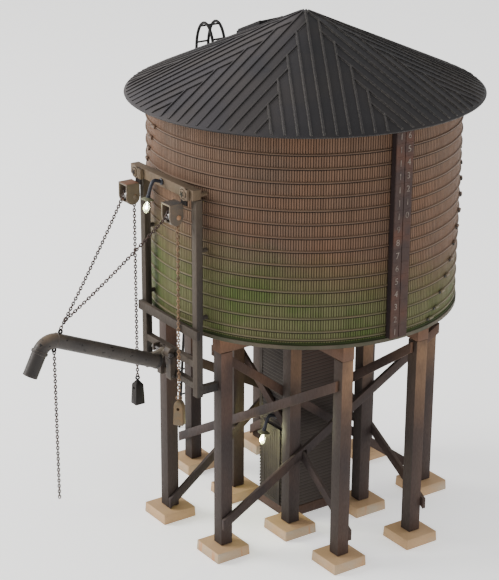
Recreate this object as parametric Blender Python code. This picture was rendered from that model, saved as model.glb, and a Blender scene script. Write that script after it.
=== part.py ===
"""Model water tower: a round staved tank on twelve timber posts, with a hinged spout on chains."""

import math

import bmesh
import bpy
from mathutils import Matrix, Vector

MM = 0.001
GAP = 0.3 * MM

# Post grid, seen from above. The outer posts of each row stand further apart than the inner ones.
COLUMN_X = (-61.45 * MM, -23.1 * MM, 23.1 * MM, 61.45 * MM)
ROW_Y = (-60.2 * MM, -21.3 * MM, 21.3 * MM, 60.2 * MM)
POST_HALF = 3.1 * MM
FOOTING_HALF = 9.1 * MM
FOOTING_BEVEL = 0.25 * MM
FOOTING_HEIGHT = 5.05 * MM

BEAM_Z = (103.2 * MM, 111.4 * MM)
BEAM_REACH_Y = 64.0 * MM
BEAM_REACH_X = 65.0 * MM
FLOOR_RADIUS = 73.0 * MM
FLOOR_Z = (111.7 * MM, 113.4 * MM)

TANK_RADIUS = 72.0 * MM
TANK_WALL = 1.8 * MM
TANK_Z = (113.7 * MM, 213.0 * MM)
ROUND_SIDES = 72

HOOP_TOP = 200.3 * MM
HOOP_PITCH = 6.2 * MM
HOOP_COUNT = 14
HOOP_LOWEST = 115.9 * MM
HOOP_HALF = 0.45 * MM
HOOP_EDGE = 0.25 * MM
HOOP_PROUD = 0.4 * MM

ROOF_RADIUS = 82.2 * MM
ROOF_RIM_Z = (210.1 * MM, 210.9 * MM)
ROOF_APEX = 246.6 * MM
ROOF_THICK = 1.8 * MM
ROOF_SLOPE = (ROOF_APEX - ROOF_RIM_Z[1]) / ROOF_RADIUS
ROOF_SECTORS = 9
ROOF_FIRST_SECTOR = math.radians(-30.6)
BATTENS_BEFORE = 4
BATTENS_AFTER = 5
BATTEN_PITCH = 5.43 * MM
BATTEN_HALF = 0.5 * MM
BATTEN_LIFT = 0.45 * MM
BATTEN_SUNK = 0.7 * MM
BATTEN_CLEAR = 2.2 * MM
BATTEN_STOP = 80.9 * MM

GAUGE_X = (TANK_RADIUS + HOOP_PROUD + GAP, 75.8 * MM)
GAUGE_Y = (-7.0 * MM, 2.2 * MM)
GAUGE_Z = (114.0 * MM, 209.7 * MM)

HATCH_CENTRE = (-35.8 * MM, 0.8 * MM)
HATCH_HALF = (7.8 * MM, 7.9 * MM)
HATCH_LIFT = (BATTEN_LIFT + GAP, 2.4 * MM)
HATCH_TURN = math.radians(8.0)

LADDER_Y = (-2.4 * MM, 4.4 * MM)
LADDER_FOOT_X = -104.0 * MM
LADDER_TOP = (-84.9 * MM, 213.0 * MM)
RAIL_RADIUS = 0.6 * MM
RUNG_RADIUS = 0.45 * MM
RUNG_START = 5.0 * MM
RUNG_PITCH = 7.6 * MM
RUNG_COUNT = 28
ARCH_CENTRE_X = -77.4 * MM
ARCH_RISE = 14.0 * MM
ARCH_STEPS = 12
ARCH_RUNGS = ((-1, 2.9 * MM), (-1, 11.5 * MM), (1, 6.7 * MM), (1, 13.2 * MM))

BRACE_DEPTH = 5.2 * MM
BRACE_THICK = 1.7 * MM
BRACE_FLOOR = FOOTING_HEIGHT + 0.35 * MM
BRACE_CLEAR = 1.5 * MM
NOTCH_SIDE = 0.5 * MM
NOTCH_END = 1.1 * MM

BOX_X = (-10.5 * MM, 13.4 * MM)
BOX_Y = (-15.8 * MM, 15.8 * MM)
BOX_WALL = 1.6 * MM
SILL_HEIGHT = 5.0 * MM
DOOR_X = (-5.8 * MM, 8.1 * MM)
DOOR_TOP = 46.0 * MM
DOOR_THICK = 0.9 * MM

FRAME_LEFT_X = (-21.6 * MM, -18.0 * MM)
FRAME_RIGHT_X = (20.9 * MM, 24.5 * MM)
FRAME_Y = (-75.3 * MM, -72.0 * MM)
FRAME_Z = (83.5 * MM, 176.8 * MM)
FRAME_RAILS_Z = ((97.4 * MM, 100.6 * MM), (87.0 * MM, 90.0 * MM))
STRUT_Y = (-73.0 * MM, -63.65 * MM)
STRUT_Z = (84.3 * MM, 88.3 * MM)
PEG_RADIUS = 1.0 * MM
PEG_LEFT = (-19.8 * MM, -69.5 * MM)
PEG_RIGHT = (22.7 * MM, -68.65 * MM)
PEG_HEIGHTS = (121.2 * MM, 153.0 * MM)
TOP_PEG_Z = 178.9 * MM
TOP_BEAM_X = (-26.7 * MM, 24.5 * MM)
TOP_BEAM_Y = (-76.9 * MM, -72.6 * MM)
TOP_BEAM_Z = (177.1 * MM, 181.7 * MM)
LOW_BEAM_X = (-21.4 * MM, 27.7 * MM)
LOW_BEAM_Y = (-77.4 * MM, -75.6 * MM)
LOW_BEAM_Z = (112.8 * MM, 117.2 * MM)

SHEAVE_X = (-22.0 * MM, 14.1 * MM)
SHEAVE_Y = -81.2 * MM
SHEAVE_Z = 168.4 * MM
SHEAVE_RADIUS = 2.2 * MM
SHEAVE_HALF = 1.6 * MM
SHEAVE_BORE = 0.9 * MM
AXLE_RADIUS = 0.55 * MM
HOUSING_HALF = 3.6 * MM
HOUSING_WALL = 0.9 * MM
HOUSING_Y = (-84.3 * MM, -77.25 * MM)
HOUSING_TOP = 174.6 * MM
HANGER_Y = (-78.15 * MM, -77.2 * MM)
BOSS_Z = 179.4 * MM
BOSS_FRONT = -79.4 * MM

LAMP_ARM = 0.8 * MM
LAMP_PATH = ((0.0, 0.0), (1.4, 0.55), (3.1, 1.1), (4.2, 0.8), (5.0, -0.2), (5.9, -2.6), (7.0, -6.4))
LAMP_TILT = math.radians(11.0)
BEAM_LAMP = (-0.5 * MM, TOP_BEAM_Y[0] - GAP, 179.66 * MM)
DOOR_LAMP = (3.5 * MM, BOX_Y[0] - GAP, 51.6 * MM)

SPOUT_X = 1.3 * MM
PIN_Y = -78.2 * MM
PIN_Z = 99.3 * MM
PIN_RADIUS = 0.8 * MM
PIPE_RADIUS = 3.38 * MM
PIPE_BORE = 2.5 * MM
PIPE_START = (-81.5 * MM, 95.1 * MM)
PIPE_BEND = (-133.0 * MM, 117.2 * MM)
PIPE_PLUG = 4.0 * MM
ELBOW_RADIUS = 7.2 * MM
ELBOW_TURN = math.radians(85.8)
ELBOW_STEPS = 10
NOZZLE_LENGTH = 11.5 * MM
COLLAR_HALF = 0.6 * MM
COLLAR_RADIUS = PIPE_RADIUS + 0.5 * MM
FLANGE_LENGTH = 1.4 * MM
FLANGE_LIP = 0.2 * MM
FLANGE_RADIUS = PIPE_RADIUS + 0.25 * MM
YOKE_X = (-0.8 * MM, 2.6 * MM)
YOKE_RADIUS = 1.5 * MM
YOKE_TAIL = ((-84.7 * MM, 99.9 * MM), (-83.4 * MM, 97.6 * MM), (-80.1 * MM, 95.9 * MM))
LUG = (-131.5 * MM, 121.2 * MM)
EYE = (-135.0 * MM, 113.4 * MM)
RING_RADIUS = 1.3 * MM
RING_HALF = 0.45 * MM

CHAIN_RADIUS = 0.4 * MM
CHAIN_CLEAR = 0.35 * MM
HOOK = (-130.8 * MM, 123.9 * MM)
PULL_TOP = (SPOUT_X, EYE[0], 111.9 * MM)
PULL_LENGTH = 71.9 * MM
PULL_POINTS = 36


def clear_scene():
    for obj in list(bpy.data.objects):
        bpy.data.objects.remove(obj, do_unlink=True)


def material(name, colour, roughness=0.8, metallic=0.0):
    made = bpy.data.materials.new(name)
    made.use_nodes = True
    shader = made.node_tree.nodes["Principled BSDF"]
    shader.inputs["Base Color"].default_value = (*colour, 1.0)
    shader.inputs["Roughness"].default_value = roughness
    shader.inputs["Metallic"].default_value = metallic
    made.diffuse_color = (*colour, 1.0)
    return made


def from_bmesh(work):
    bmesh.ops.recalc_face_normals(work, faces=work.faces)
    mesh = bpy.data.meshes.new("piece")
    work.to_mesh(mesh)
    work.free()
    obj = bpy.data.objects.new("piece", mesh)
    bpy.context.scene.collection.objects.link(obj)
    return obj


def box(x, y, z):
    work = bmesh.new()
    middle = Vector([(low + high) / 2 for low, high in (x, y, z)])
    sides = [high - low for low, high in (x, y, z)]
    place = Matrix.Translation(middle) @ Matrix.Diagonal((*sides, 1.0))
    bmesh.ops.create_cube(work, size=1.0, matrix=place)
    return from_bmesh(work)


def prism(outline, axis, low, high):
    """A flat outline pushed along one axis. The outline holds the two other coordinates in order."""
    work = bmesh.new()
    corners = []
    for first, second in outline:
        point = [first, second]
        point.insert(axis, low)
        corners.append(work.verts.new(point))
    face = work.faces.new(corners)
    pushed = bmesh.ops.extrude_face_region(work, geom=[face])
    moved = [part for part in pushed["geom"] if isinstance(part, bmesh.types.BMVert)]
    step = Vector((0, 0, 0))
    step[axis] = high - low
    bmesh.ops.translate(work, verts=moved, vec=step)
    return from_bmesh(work)


def tapered(x, y, levels):
    """A four-sided block: each level holds the half width, the half depth and the height."""
    work = bmesh.new()
    wide, deep, z = levels[0]
    corners = ((-1, -1), (1, -1), (1, 1), (-1, 1))
    base = work.faces.new([work.verts.new((x + a * wide, y + b * deep, z)) for a, b in corners])
    face = base
    for wide, deep, z in levels[1:]:
        pushed = bmesh.ops.extrude_face_region(work, geom=[face])
        if face is not base:
            bmesh.ops.delete(work, geom=[face], context="FACES_ONLY")
        face = next(part for part in pushed["geom"] if isinstance(part, bmesh.types.BMFace))
        for vertex, (a, b) in zip(face.verts, corners):
            vertex.co = (x + a * wide, y + b * deep, z)
    return from_bmesh(work)


def tube(path, radius, sides):
    """A round bar along a path, from a bevelled curve with capped ends."""
    line = bpy.data.curves.new("piece", "CURVE")
    line.dimensions = "3D"
    line.bevel_depth = radius
    line.bevel_resolution = (sides - 4) // 2
    line.use_fill_caps = True
    spline = line.splines.new("POLY")
    spline.points.add(len(path) - 1)
    for point, at in zip(spline.points, path):
        point.co = (*at, 1.0)
    guide = bpy.data.objects.new("guide", line)
    bpy.context.scene.collection.objects.link(guide)
    graph = bpy.context.evaluated_depsgraph_get()
    mesh = bpy.data.meshes.new_from_object(guide.evaluated_get(graph))
    work = bmesh.new()
    work.from_mesh(mesh)
    bmesh.ops.remove_doubles(work, verts=work.verts, dist=0.0005 * MM)
    bpy.data.objects.remove(guide, do_unlink=True)
    bpy.data.meshes.remove(mesh)
    return from_bmesh(work)


def lathe(profile, sides):
    """A closed profile of (radius, height) points turned about the Z axis."""
    work = bmesh.new()
    points = [work.verts.new((radius, 0, height)) for radius, height in profile]
    edges = [work.edges.new(pair) for pair in zip(points, points[1:])]
    bmesh.ops.spin(
        work, geom=points + edges, axis=(0, 0, 1), cent=(0, 0, 0), angle=2 * math.pi, steps=sides
    )
    bmesh.ops.remove_doubles(work, verts=work.verts, dist=0.0005 * MM)
    return from_bmesh(work)


def joined(pieces):
    """Pieces that don't meet, held as one mesh."""
    work = bmesh.new()
    for piece in pieces:
        work.from_mesh(piece.data)
        bpy.data.objects.remove(piece, do_unlink=True)
    mesh = bpy.data.meshes.new("piece")
    work.to_mesh(mesh)
    work.free()
    obj = bpy.data.objects.new("piece", mesh)
    bpy.context.scene.collection.objects.link(obj)
    return obj


def combine(base, other, operation):
    step = base.modifiers.new("combine", "BOOLEAN")
    step.operation = operation
    step.solver = "EXACT"
    step.object = other
    graph = bpy.context.evaluated_depsgraph_get()
    mesh = bpy.data.meshes.new_from_object(base.evaluated_get(graph))
    base.modifiers.clear()
    base.data = mesh
    bpy.data.objects.remove(other, do_unlink=True)
    return base


def union(base, *others):
    for other in others:
        base = combine(base, other, "UNION")
    return base


def cut(base, *others):
    for other in others:
        base = combine(base, other, "DIFFERENCE")
    return base


def finish(obj, name, look, smooth=False, pivot=None):
    obj.name = name
    obj.data.name = name
    obj.data.materials.clear()
    obj.data.materials.append(look)
    if smooth:
        obj.data.shade_smooth()
        obj.data.set_sharp_from_angle(angle=math.radians(35.0))
    else:
        obj.data.shade_flat()
    if pivot is not None:
        obj.data.transform(Matrix.Translation(-Vector(pivot)))
        obj.location = pivot
    return obj


def brace_outline(ends, middle, slope):
    """The side of a slanted board: top edge at middle + slope * position, with upright ends."""
    low, high = ends
    outline = [(at, middle + slope * at) for at in (low, high)]
    for at in (high, low):
        z = middle + slope * at - BRACE_DEPTH
        if z >= BRACE_FLOOR:
            outline.append((at, z))
            continue
        meet = (BRACE_FLOOR + BRACE_DEPTH - middle) / slope
        pair = [(at, BRACE_FLOOR), (meet, BRACE_FLOOR)]
        outline += pair if at > 0 else pair[::-1]
    return outline


def build_posts():
    concrete = material("footing_tan", (0.55, 0.42, 0.26), 0.9)
    timber = material("post_brown", (0.085, 0.06, 0.055), 0.75)
    top = FOOTING_HALF - FOOTING_BEVEL
    levels = ((FOOTING_HALF, FOOTING_HALF, 0.0), (top, top, FOOTING_HEIGHT))
    for i, x in enumerate(COLUMN_X):
        for j, y in enumerate(ROW_Y):
            if i in (0, 3) and j in (0, 3):
                continue
            finish(tapered(x, y, levels), f"footing_{i}{j}", concrete)
            across = (x - POST_HALF, x + POST_HALF)
            deep = (y - POST_HALF, y + POST_HALF)
            post = box(across, deep, (FOOTING_HEIGHT + GAP, BEAM_Z[0] - GAP))
            finish(post, f"post_{i}{j}", timber)
    return timber


def build_braces(timber):
    outer = POST_HALF + GAP
    inner = outer + BRACE_THICK
    full = (ROW_Y[0] - POST_HALF, ROW_Y[3] + POST_HALF)
    # Each board: its name, where its thickness starts, its two ends, the height of its middle, its slope.
    columns = (
        ("brace_column_right_outer", COLUMN_X[2] + outer, full, 54.7 * MM, 0.56),
        ("brace_column_right_inner", COLUMN_X[2] - inner, full, 57.0 * MM, -0.758),
        ("brace_column_left_outer", COLUMN_X[1] - inner, full, 54.7 * MM, -0.56),
        ("brace_column_left_inner", COLUMN_X[1] + outer, full, 58.5 * MM, 0.758),
    )
    rows = (
        ("brace_row_front_outer", ROW_Y[1] - inner, (-67.4 * MM, 62.4 * MM), 57.2 * MM, 0.583),
        ("brace_row_front_inner", ROW_Y[1] + outer, (-62.4 * MM, 64.2 * MM), 61.6 * MM, -0.70),
        ("brace_row_back_inner", ROW_Y[2] - inner, (-64.2 * MM, 62.4 * MM), 58.1 * MM, 0.7145),
        ("brace_row_back_outer", ROW_Y[2] + outer, (-62.4 * MM, 65.9 * MM), 60.5 * MM, -0.59),
    )
    boards = {}
    for name, x, ends, middle, slope in columns:
        boards[name] = prism(brace_outline(ends, middle, slope), 0, x, x + BRACE_THICK)
    for name, y, ends, middle, slope in rows:
        boards[name] = prism(brace_outline(ends, middle, slope), 1, y, y + BRACE_THICK)
    for column, x, _, middle_x, slope_x in columns:
        for _, y, _, middle_y, slope_y in rows:
            at = middle_x + slope_x * (y + BRACE_THICK / 2)
            other = middle_y + slope_y * (x + BRACE_THICK / 2)
            if abs(at - other) - BRACE_DEPTH > BRACE_CLEAR:
                continue
            # A shallow notch where two boards would pass through each other.
            notch = box(
                (x - NOTCH_SIDE, x + BRACE_THICK + NOTCH_SIDE),
                (y - NOTCH_SIDE, y + BRACE_THICK + NOTCH_SIDE),
                (other - BRACE_DEPTH - NOTCH_END, other + NOTCH_END),
            )
            boards[column] = cut(boards[column], notch)
    for name, board in boards.items():
        finish(board, name, timber)


def build_deck(timber):
    along = []
    for x in COLUMN_X[1:3]:
        across = (x - POST_HALF, x + POST_HALF)
        along.append(box(across, (-BEAM_REACH_Y, BEAM_REACH_Y), BEAM_Z))
    crossing = []
    for y in ROW_Y[1:3]:
        deep = (y - POST_HALF, y + POST_HALF)
        crossing.append(box((-BEAM_REACH_X, BEAM_REACH_X), deep, BEAM_Z))
    finish(union(joined(along), joined(crossing)), "cap_frame", timber)
    lip = material("floor_green", (0.16, 0.17, 0.11), 0.8)
    low, high = FLOOR_Z
    disc = lathe([(0, low), (FLOOR_RADIUS, low), (FLOOR_RADIUS, high), (0, high)], ROUND_SIDES)
    finish(disc, "tank_floor", lip, True)


def hooped_side():
    """The outside of the tank's wall, from its foot to its top, with a raised band for each hoop."""
    low, high = TANK_Z
    proud = TANK_RADIUS + HOOP_PROUD
    points = [(TANK_RADIUS, low)]
    upper = [HOOP_TOP - HOOP_PITCH * i for i in reversed(range(HOOP_COUNT))]
    for z in [HOOP_LOWEST] + upper:
        points += [(TANK_RADIUS, z - HOOP_HALF), (proud, z - HOOP_EDGE)]
        points += [(proud, z + HOOP_EDGE), (TANK_RADIUS, z + HOOP_HALF)]
    return points + [(TANK_RADIUS, high)]


def build_battens():
    """Ribs laid parallel to the middle line of each roof sector, as bars sunk into the cone.

    Those before the middle line start at the hip, and those after it run on to the next sector's rib.
    """
    bars = []
    half_turn = math.pi / ROOF_SECTORS
    whole = 2 * half_turn
    for sector in range(ROOF_SECTORS):
        turn = Matrix.Rotation(ROOF_FIRST_SECTOR + whole * sector, 4, "Z")
        for i in range(-BATTENS_BEFORE, BATTENS_AFTER + 1):
            offset = i * BATTEN_PITCH
            start = BATTEN_CLEAR - offset / math.tan(half_turn)
            if i > 0:
                meet = offset * (1 + math.cos(whole)) - BATTEN_PITCH
                start = BATTEN_CLEAR + meet / math.sin(whole)
            end = math.sqrt(BATTEN_STOP**2 - offset**2)
            outline = []
            for along, lift in (
                (start, BATTEN_LIFT),
                (start, -BATTEN_SUNK),
                (end, -BATTEN_SUNK),
                (end, BATTEN_LIFT),
            ):
                z = ROOF_APEX - ROOF_SLOPE * math.hypot(along, offset) + lift
                outline.append((along, z))
            bar = prism(outline, 1, offset - BATTEN_HALF, offset + BATTEN_HALF)
            bar.data.transform(turn)
            bars.append(bar)
    return joined(bars)


def build_tank():
    stave = material("stave_brown", (0.18, 0.12, 0.075), 0.75)
    inside = TANK_RADIUS - TANK_WALL
    low, high = TANK_Z
    floor = low + TANK_WALL
    outside = [(0, low)] + hooped_side()
    shell = lathe(outside + [(inside, high), (inside, floor), (0, floor)], ROUND_SIDES)
    finish(shell, "tank_shell", stave, True)
    slate = material("roof_charcoal", (0.045, 0.045, 0.048), 0.6)
    under = ROOF_APEX - ROOF_THICK
    low, high = ROOF_RIM_Z
    meet = (under - low) / ROOF_SLOPE
    below = [(0, under), (meet, low), (ROOF_RADIUS, low)]
    cone = lathe(below + [(ROOF_RADIUS, high), (0, ROOF_APEX)], ROUND_SIDES)
    finish(union(cone, build_battens()), "roof", slate, True)
    dark = material("board_dark", (0.1, 0.075, 0.07), 0.75)
    finish(box(GAUGE_X, GAUGE_Y, GAUGE_Z), "gauge_board", dark)
    build_hatch(slate)


def build_hatch(slate):
    far, near = -HATCH_HALF[0], HATCH_HALF[0]
    low, high = HATCH_LIFT
    middle = ROOF_APEX + ROOF_SLOPE * HATCH_CENTRE[0]
    fall = ROOF_SLOPE * HATCH_HALF[0]
    outline = [
        (near, middle + fall + low),
        (far, middle - fall + low),
        (far, middle - fall + high),
        (near, middle + fall + high),
    ]
    panel = prism(outline, 1, -HATCH_HALF[1], HATCH_HALF[1])
    turn = Matrix.Rotation(HATCH_TURN, 4, "Z")
    panel.data.transform(Matrix.Translation((*HATCH_CENTRE, 0.0)) @ turn)
    finish(panel, "roof_hatch", slate)


def build_ladder():
    iron = material("iron_black", (0.02, 0.02, 0.02), 0.5, 0.6)
    top_x, top_z = LADDER_TOP
    reach = ARCH_CENTRE_X - top_x
    end_x = ARCH_CENTRE_X + reach
    end_z = ROOF_APEX + ROOF_SLOPE * end_x + BATTEN_LIFT + RAIL_RADIUS
    rungs = []
    for i in range(RUNG_COUNT):
        z = RUNG_START + RUNG_PITCH * i
        rungs.append((LADDER_FOOT_X + (top_x - LADDER_FOOT_X) * z / top_z, z))
    for side, rise in ARCH_RUNGS:
        x = reach * math.sqrt(1 - (rise / ARCH_RISE) ** 2)
        rungs.append((ARCH_CENTRE_X + side * x, top_z + rise))
    sides = []
    for y in LADDER_Y:
        path = [(LADDER_FOOT_X, y, 0.0), (LADDER_FOOT_X, y, RAIL_RADIUS), (top_x, y, top_z)]
        for i in range(1, ARCH_STEPS):
            turn = math.pi * (1 - i / ARCH_STEPS)
            x = ARCH_CENTRE_X + reach * math.cos(turn)
            path.append((x, y, top_z + ARCH_RISE * math.sin(turn)))
        path.append((end_x, y, end_z))
        sides.append(tube(path, RAIL_RADIUS, 8))
    steps = []
    for x, z in rungs:
        steps.append(tube([(x, y, z) for y in LADDER_Y], RUNG_RADIUS, 6))
    finish(union(joined(sides), joined(steps)), "ladder", iron, True)


def build_frost_box(timber):
    board = material("clapboard_grey", (0.09, 0.07, 0.065), 0.75)
    hollow_x = (BOX_X[0] + BOX_WALL, BOX_X[1] - BOX_WALL)
    hollow_y = (BOX_Y[0] + BOX_WALL, BOX_Y[1] - BOX_WALL)
    walls = box(BOX_X, BOX_Y, (SILL_HEIGHT + GAP, FLOOR_Z[0] - GAP))
    walls = cut(walls, box(hollow_x, hollow_y, (0, TANK_Z[1])))
    finish(walls, "frost_box", board)
    sill_x = (BOX_X[0] - GAP, BOX_X[1] + GAP)
    sill_y = (BOX_Y[0] - GAP, BOX_Y[1] + GAP)
    finish(box(sill_x, sill_y, (0, SILL_HEIGHT)), "frost_box_base", timber)
    front = BOX_Y[0] - GAP
    door = box(DOOR_X, (front - DOOR_THICK, front), (SILL_HEIGHT + GAP, DOOR_TOP))
    finish(door, "frost_box_door", board)


def build_lamp(name, start, look):
    """A gooseneck arm that carries a thin shade and, below it, a long bulb."""
    x, y, z = start
    path = [(x, y - out * MM, z + up * MM) for out, up in LAMP_PATH]
    neck = tube(path, LAMP_ARM, 10)
    hood = lathe(
        [
            (0, 0.4 * MM),
            (1.0 * MM, 0.4 * MM),
            (3.0 * MM, -0.5 * MM),
            (3.0 * MM, -1.0 * MM),
            (1.0 * MM, -1.1 * MM),
            (1.0 * MM, -2.0 * MM),
            (1.5 * MM, -3.6 * MM),
            (1.5 * MM, -4.9 * MM),
            (0.9 * MM, -6.3 * MM),
            (0, -6.9 * MM),
        ],
        20,
    )
    lean = Matrix.Rotation(-LAMP_TILT, 4, "X")
    hood.data.transform(Matrix.Translation(path[-1]) @ lean)
    finish(union(neck, hood), name, look, True)


def build_frame(timber):
    posts = [box(FRAME_LEFT_X, FRAME_Y, FRAME_Z), box(FRAME_RIGHT_X, FRAME_Y, FRAME_Z)]
    rails = []
    across = (FRAME_LEFT_X[1] - MM, FRAME_RIGHT_X[0] + MM)
    inset = 0.2 * MM
    for heights in FRAME_RAILS_Z:
        rails.append(box(across, (FRAME_Y[0] + inset, FRAME_Y[1] - inset), heights))
    strut_x = (FRAME_RIGHT_X[0] + 2 * inset, FRAME_RIGHT_X[1] - 2 * inset)
    extra = [box(strut_x, STRUT_Y, STRUT_Z)]
    for x, end in (PEG_LEFT, PEG_RIGHT):
        for z in PEG_HEIGHTS:
            extra.append(tube([(x, STRUT_Y[0], z), (x, end, z)], PEG_RADIUS, 12))
    finish(union(joined(posts), joined(rails), joined(extra)), "spout_frame", timber)
    beam = box(TOP_BEAM_X, TOP_BEAM_Y, TOP_BEAM_Z)
    x, end = PEG_RIGHT
    peg = tube([(x, STRUT_Y[0] - inset, TOP_PEG_Z), (x, end, TOP_PEG_Z)], PEG_RADIUS, 12)
    finish(union(beam, peg), "frame_top_beam", timber)
    finish(box(LOW_BEAM_X, LOW_BEAM_Y, LOW_BEAM_Z), "frame_lower_beam", timber)


def build_housing(side, x, boss_x, boss_radius, hanger_x):
    rust = material("housing_brown", (0.2, 0.12, 0.06), 0.5)
    iron = bpy.data.materials["iron_black"]
    front, back = HOUSING_Y
    outline = [(front, HOUSING_TOP), (front, SHEAVE_Z)]
    middle, reach, drop = (front + back) / 2, (back - front) / 2, 3.8 * MM
    for i in range(1, 12):
        turn = math.pi * (1 + i / 12)
        outline.append((middle + reach * math.cos(turn), SHEAVE_Z + drop * math.sin(turn)))
    outline += [(back, SHEAVE_Z), (back, HOUSING_TOP)]
    shell = prism(outline, 0, x - HOUSING_HALF, x + HOUSING_HALF)
    half = HOUSING_HALF - HOUSING_WALL
    low = SHEAVE_Z - 3 * drop
    chamber_y = (front - MM, back - HOUSING_WALL)
    chamber = box((x - half, x + half), chamber_y, (low, HOUSING_TOP - HOUSING_WALL))
    slot_x = (x - SHEAVE_BORE, x + SHEAVE_BORE)
    slot = box(slot_x, (front - MM, back + MM), (low, SHEAVE_Z + SHEAVE_RADIUS + CHAIN_RADIUS))
    shell = cut(shell, chamber, slot)
    hanger = box(hanger_x, HANGER_Y, (HOUSING_TOP - HOUSING_WALL / 2, TOP_BEAM_Z[1]))
    boss = tube([(boss_x, HANGER_Y[0] + GAP, BOSS_Z), (boss_x, BOSS_FRONT, BOSS_Z)], boss_radius, 20)
    reach = HOUSING_HALF - HOUSING_WALL / 3
    axle = tube([(x - reach, SHEAVE_Y, SHEAVE_Z), (x + reach, SHEAVE_Y, SHEAVE_Z)], AXLE_RADIUS, 12)
    finish(union(shell, hanger, boss, axle), f"housing_{side}", rust, True)
    ends = [(x - SHEAVE_HALF, SHEAVE_Y, SHEAVE_Z), (x + SHEAVE_HALF, SHEAVE_Y, SHEAVE_Z)]
    beyond = [(x - 2 * SHEAVE_HALF, SHEAVE_Y, SHEAVE_Z), (x + 2 * SHEAVE_HALF, SHEAVE_Y, SHEAVE_Z)]
    wheel = cut(tube(ends, SHEAVE_RADIUS, 32), tube(beyond, SHEAVE_BORE, 12))
    finish(wheel, f"sheave_{side}", iron, True, (x, SHEAVE_Y, SHEAVE_Z))


def spout_line():
    """The centre line of the spout from its hinge end to its mouth, as (y, z), and the way it leaves."""
    start, bend = Vector(PIPE_START), Vector(PIPE_BEND)
    along = (bend - start).normalized()
    across = Vector((-along.y, along.x))
    centre = bend + across * ELBOW_RADIUS
    first = math.atan2(bend.y - centre.y, bend.x - centre.x)
    points = [start, bend]
    for i in range(1, ELBOW_STEPS + 1):
        angle = first + ELBOW_TURN * i / ELBOW_STEPS
        points.append(centre + ELBOW_RADIUS * Vector((math.cos(angle), math.sin(angle))))
    angle += math.pi / 2
    out = Vector((math.cos(angle), math.sin(angle)))
    points.append(points[-1] + out * NOZZLE_LENGTH)
    return points, along, out


def across_x(middle, half, y, z):
    return [(middle - half, y, z), (middle + half, y, z)]


def build_spout():
    iron = material("spout_iron", (0.06, 0.052, 0.048), 0.45, 0.3)
    line, along, out = spout_line()

    def placed(points):
        return [(SPOUT_X, point.x, point.y) for point in points]

    body = tube(placed(line), PIPE_RADIUS, 24)
    bend_end = line[-2]
    collar = tube(placed([bend_end - out * COLLAR_HALF, bend_end + out * COLLAR_HALF]), COLLAR_RADIUS, 24)
    flange_start = line[0] - along * FLANGE_LIP
    flange = tube(placed([flange_start, flange_start + along * FLANGE_LENGTH]), FLANGE_RADIUS, 24)
    yoke = []
    for i in range(9):
        turn = math.radians(-50 + 180 * i / 8)
        yoke.append((PIN_Y + YOKE_RADIUS * math.cos(turn), PIN_Z + YOKE_RADIUS * math.sin(turn)))
    plate = prism(yoke + list(YOKE_TAIL), 0, *YOKE_X)
    lug = tube(across_x(SPOUT_X, RING_HALF, *LUG), RING_RADIUS, 16)
    eye = tube(across_x(SPOUT_X, RING_HALF, *EYE), RING_RADIUS, 16)
    body = union(body, plate, flange, collar, lug, eye)
    inner = [line[0] + along * PIPE_PLUG] + line[1:-1] + [line[-1] + out * MM]
    body = cut(body, tube(placed(inner), PIPE_BORE, 24))
    body = cut(body, tube(across_x(0, 4 * HOUSING_HALF, PIN_Y, PIN_Z), PIN_RADIUS + GAP, 16))
    finish(body, "spout", iron, True, (SPOUT_X, PIN_Y, PIN_Z))


def build_bracket():
    """Two arms on the frame's rails. The right one carries the pin, with a small cheek at its far end."""
    iron = bpy.data.materials["iron_black"]
    back = FRAME_Y[0] - GAP
    foot, front = 86.8 * MM, -78.2 * MM
    right = [
        (back, foot),
        (back, 101.6 * MM),
        (-76.4 * MM, 102.4 * MM),
        (-78.1 * MM, 102.4 * MM),
        (-79.1 * MM, 101.4 * MM),
        (-79.6 * MM, 99.6 * MM),
        (-79.3 * MM, 98.2 * MM),
        (front, 96.8 * MM),
        (front, foot),
    ]
    left = [(back, foot), (back, 96.9 * MM), (front, 96.9 * MM), (front, foot)]
    cheek = [(back, 97.6 * MM), (back, 101.0 * MM), (-79.4 * MM, 101.0 * MM), (-79.4 * MM, 97.6 * MM)]
    arms = [
        prism(right, 0, 3.0 * MM, 7.0 * MM),
        prism(left, 0, -4.6 * MM, -1.4 * MM),
        prism(cheek, 0, -6.6 * MM, -5.4 * MM),
    ]
    straps = []
    for low, high in FRAME_RAILS_Z:
        straps.append(box((-6.6 * MM, 7.0 * MM), (back - 0.7 * MM, back), (low, high)))
    tie = box((-4.0 * MM, -3.0 * MM), (back - 0.7 * MM, back), (foot, 101.0 * MM))
    pin = tube([(-7.4 * MM, PIN_Y, PIN_Z), (7.8 * MM, PIN_Y, PIN_Z)], PIN_RADIUS, 16)
    finish(union(joined(straps), tie, joined(arms), pin), "spout_bracket", iron)


def build_chains():
    bronze = material("chain_bronze", (0.2, 0.13, 0.09), 0.45, 0.7)
    hook = (SPOUT_X, *HOOK)
    front = SHEAVE_Y - SHEAVE_RADIUS - CHAIN_CLEAR - CHAIN_RADIUS
    strands = [tube([(x, front, SHEAVE_Z), hook], CHAIN_RADIUS, 6) for x in SHEAVE_X]
    half = 0.8 * MM
    ring = box(*((at - half, at + half) for at in hook))
    finish(union(ring, *strands), "lift_chains", bronze)
    build_weights(bronze)
    hang = bpy.data.curves.new("pull_chain", "CURVE")
    hang.dimensions = "3D"
    hang.bevel_depth = CHAIN_RADIUS
    hang.bevel_resolution = 2
    hang.use_fill_caps = True
    line = hang.splines.new("POLY")
    line.points.add(PULL_POINTS - 1)
    for i, point in enumerate(line.points):
        point.co = (0.0, 0.0, -PULL_LENGTH * i / (PULL_POINTS - 1), 1.0)
    hang.materials.append(bronze)
    pull = bpy.data.objects.new("pull_chain", hang)
    pull.location = PULL_TOP
    bpy.context.scene.collection.objects.link(pull)


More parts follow.
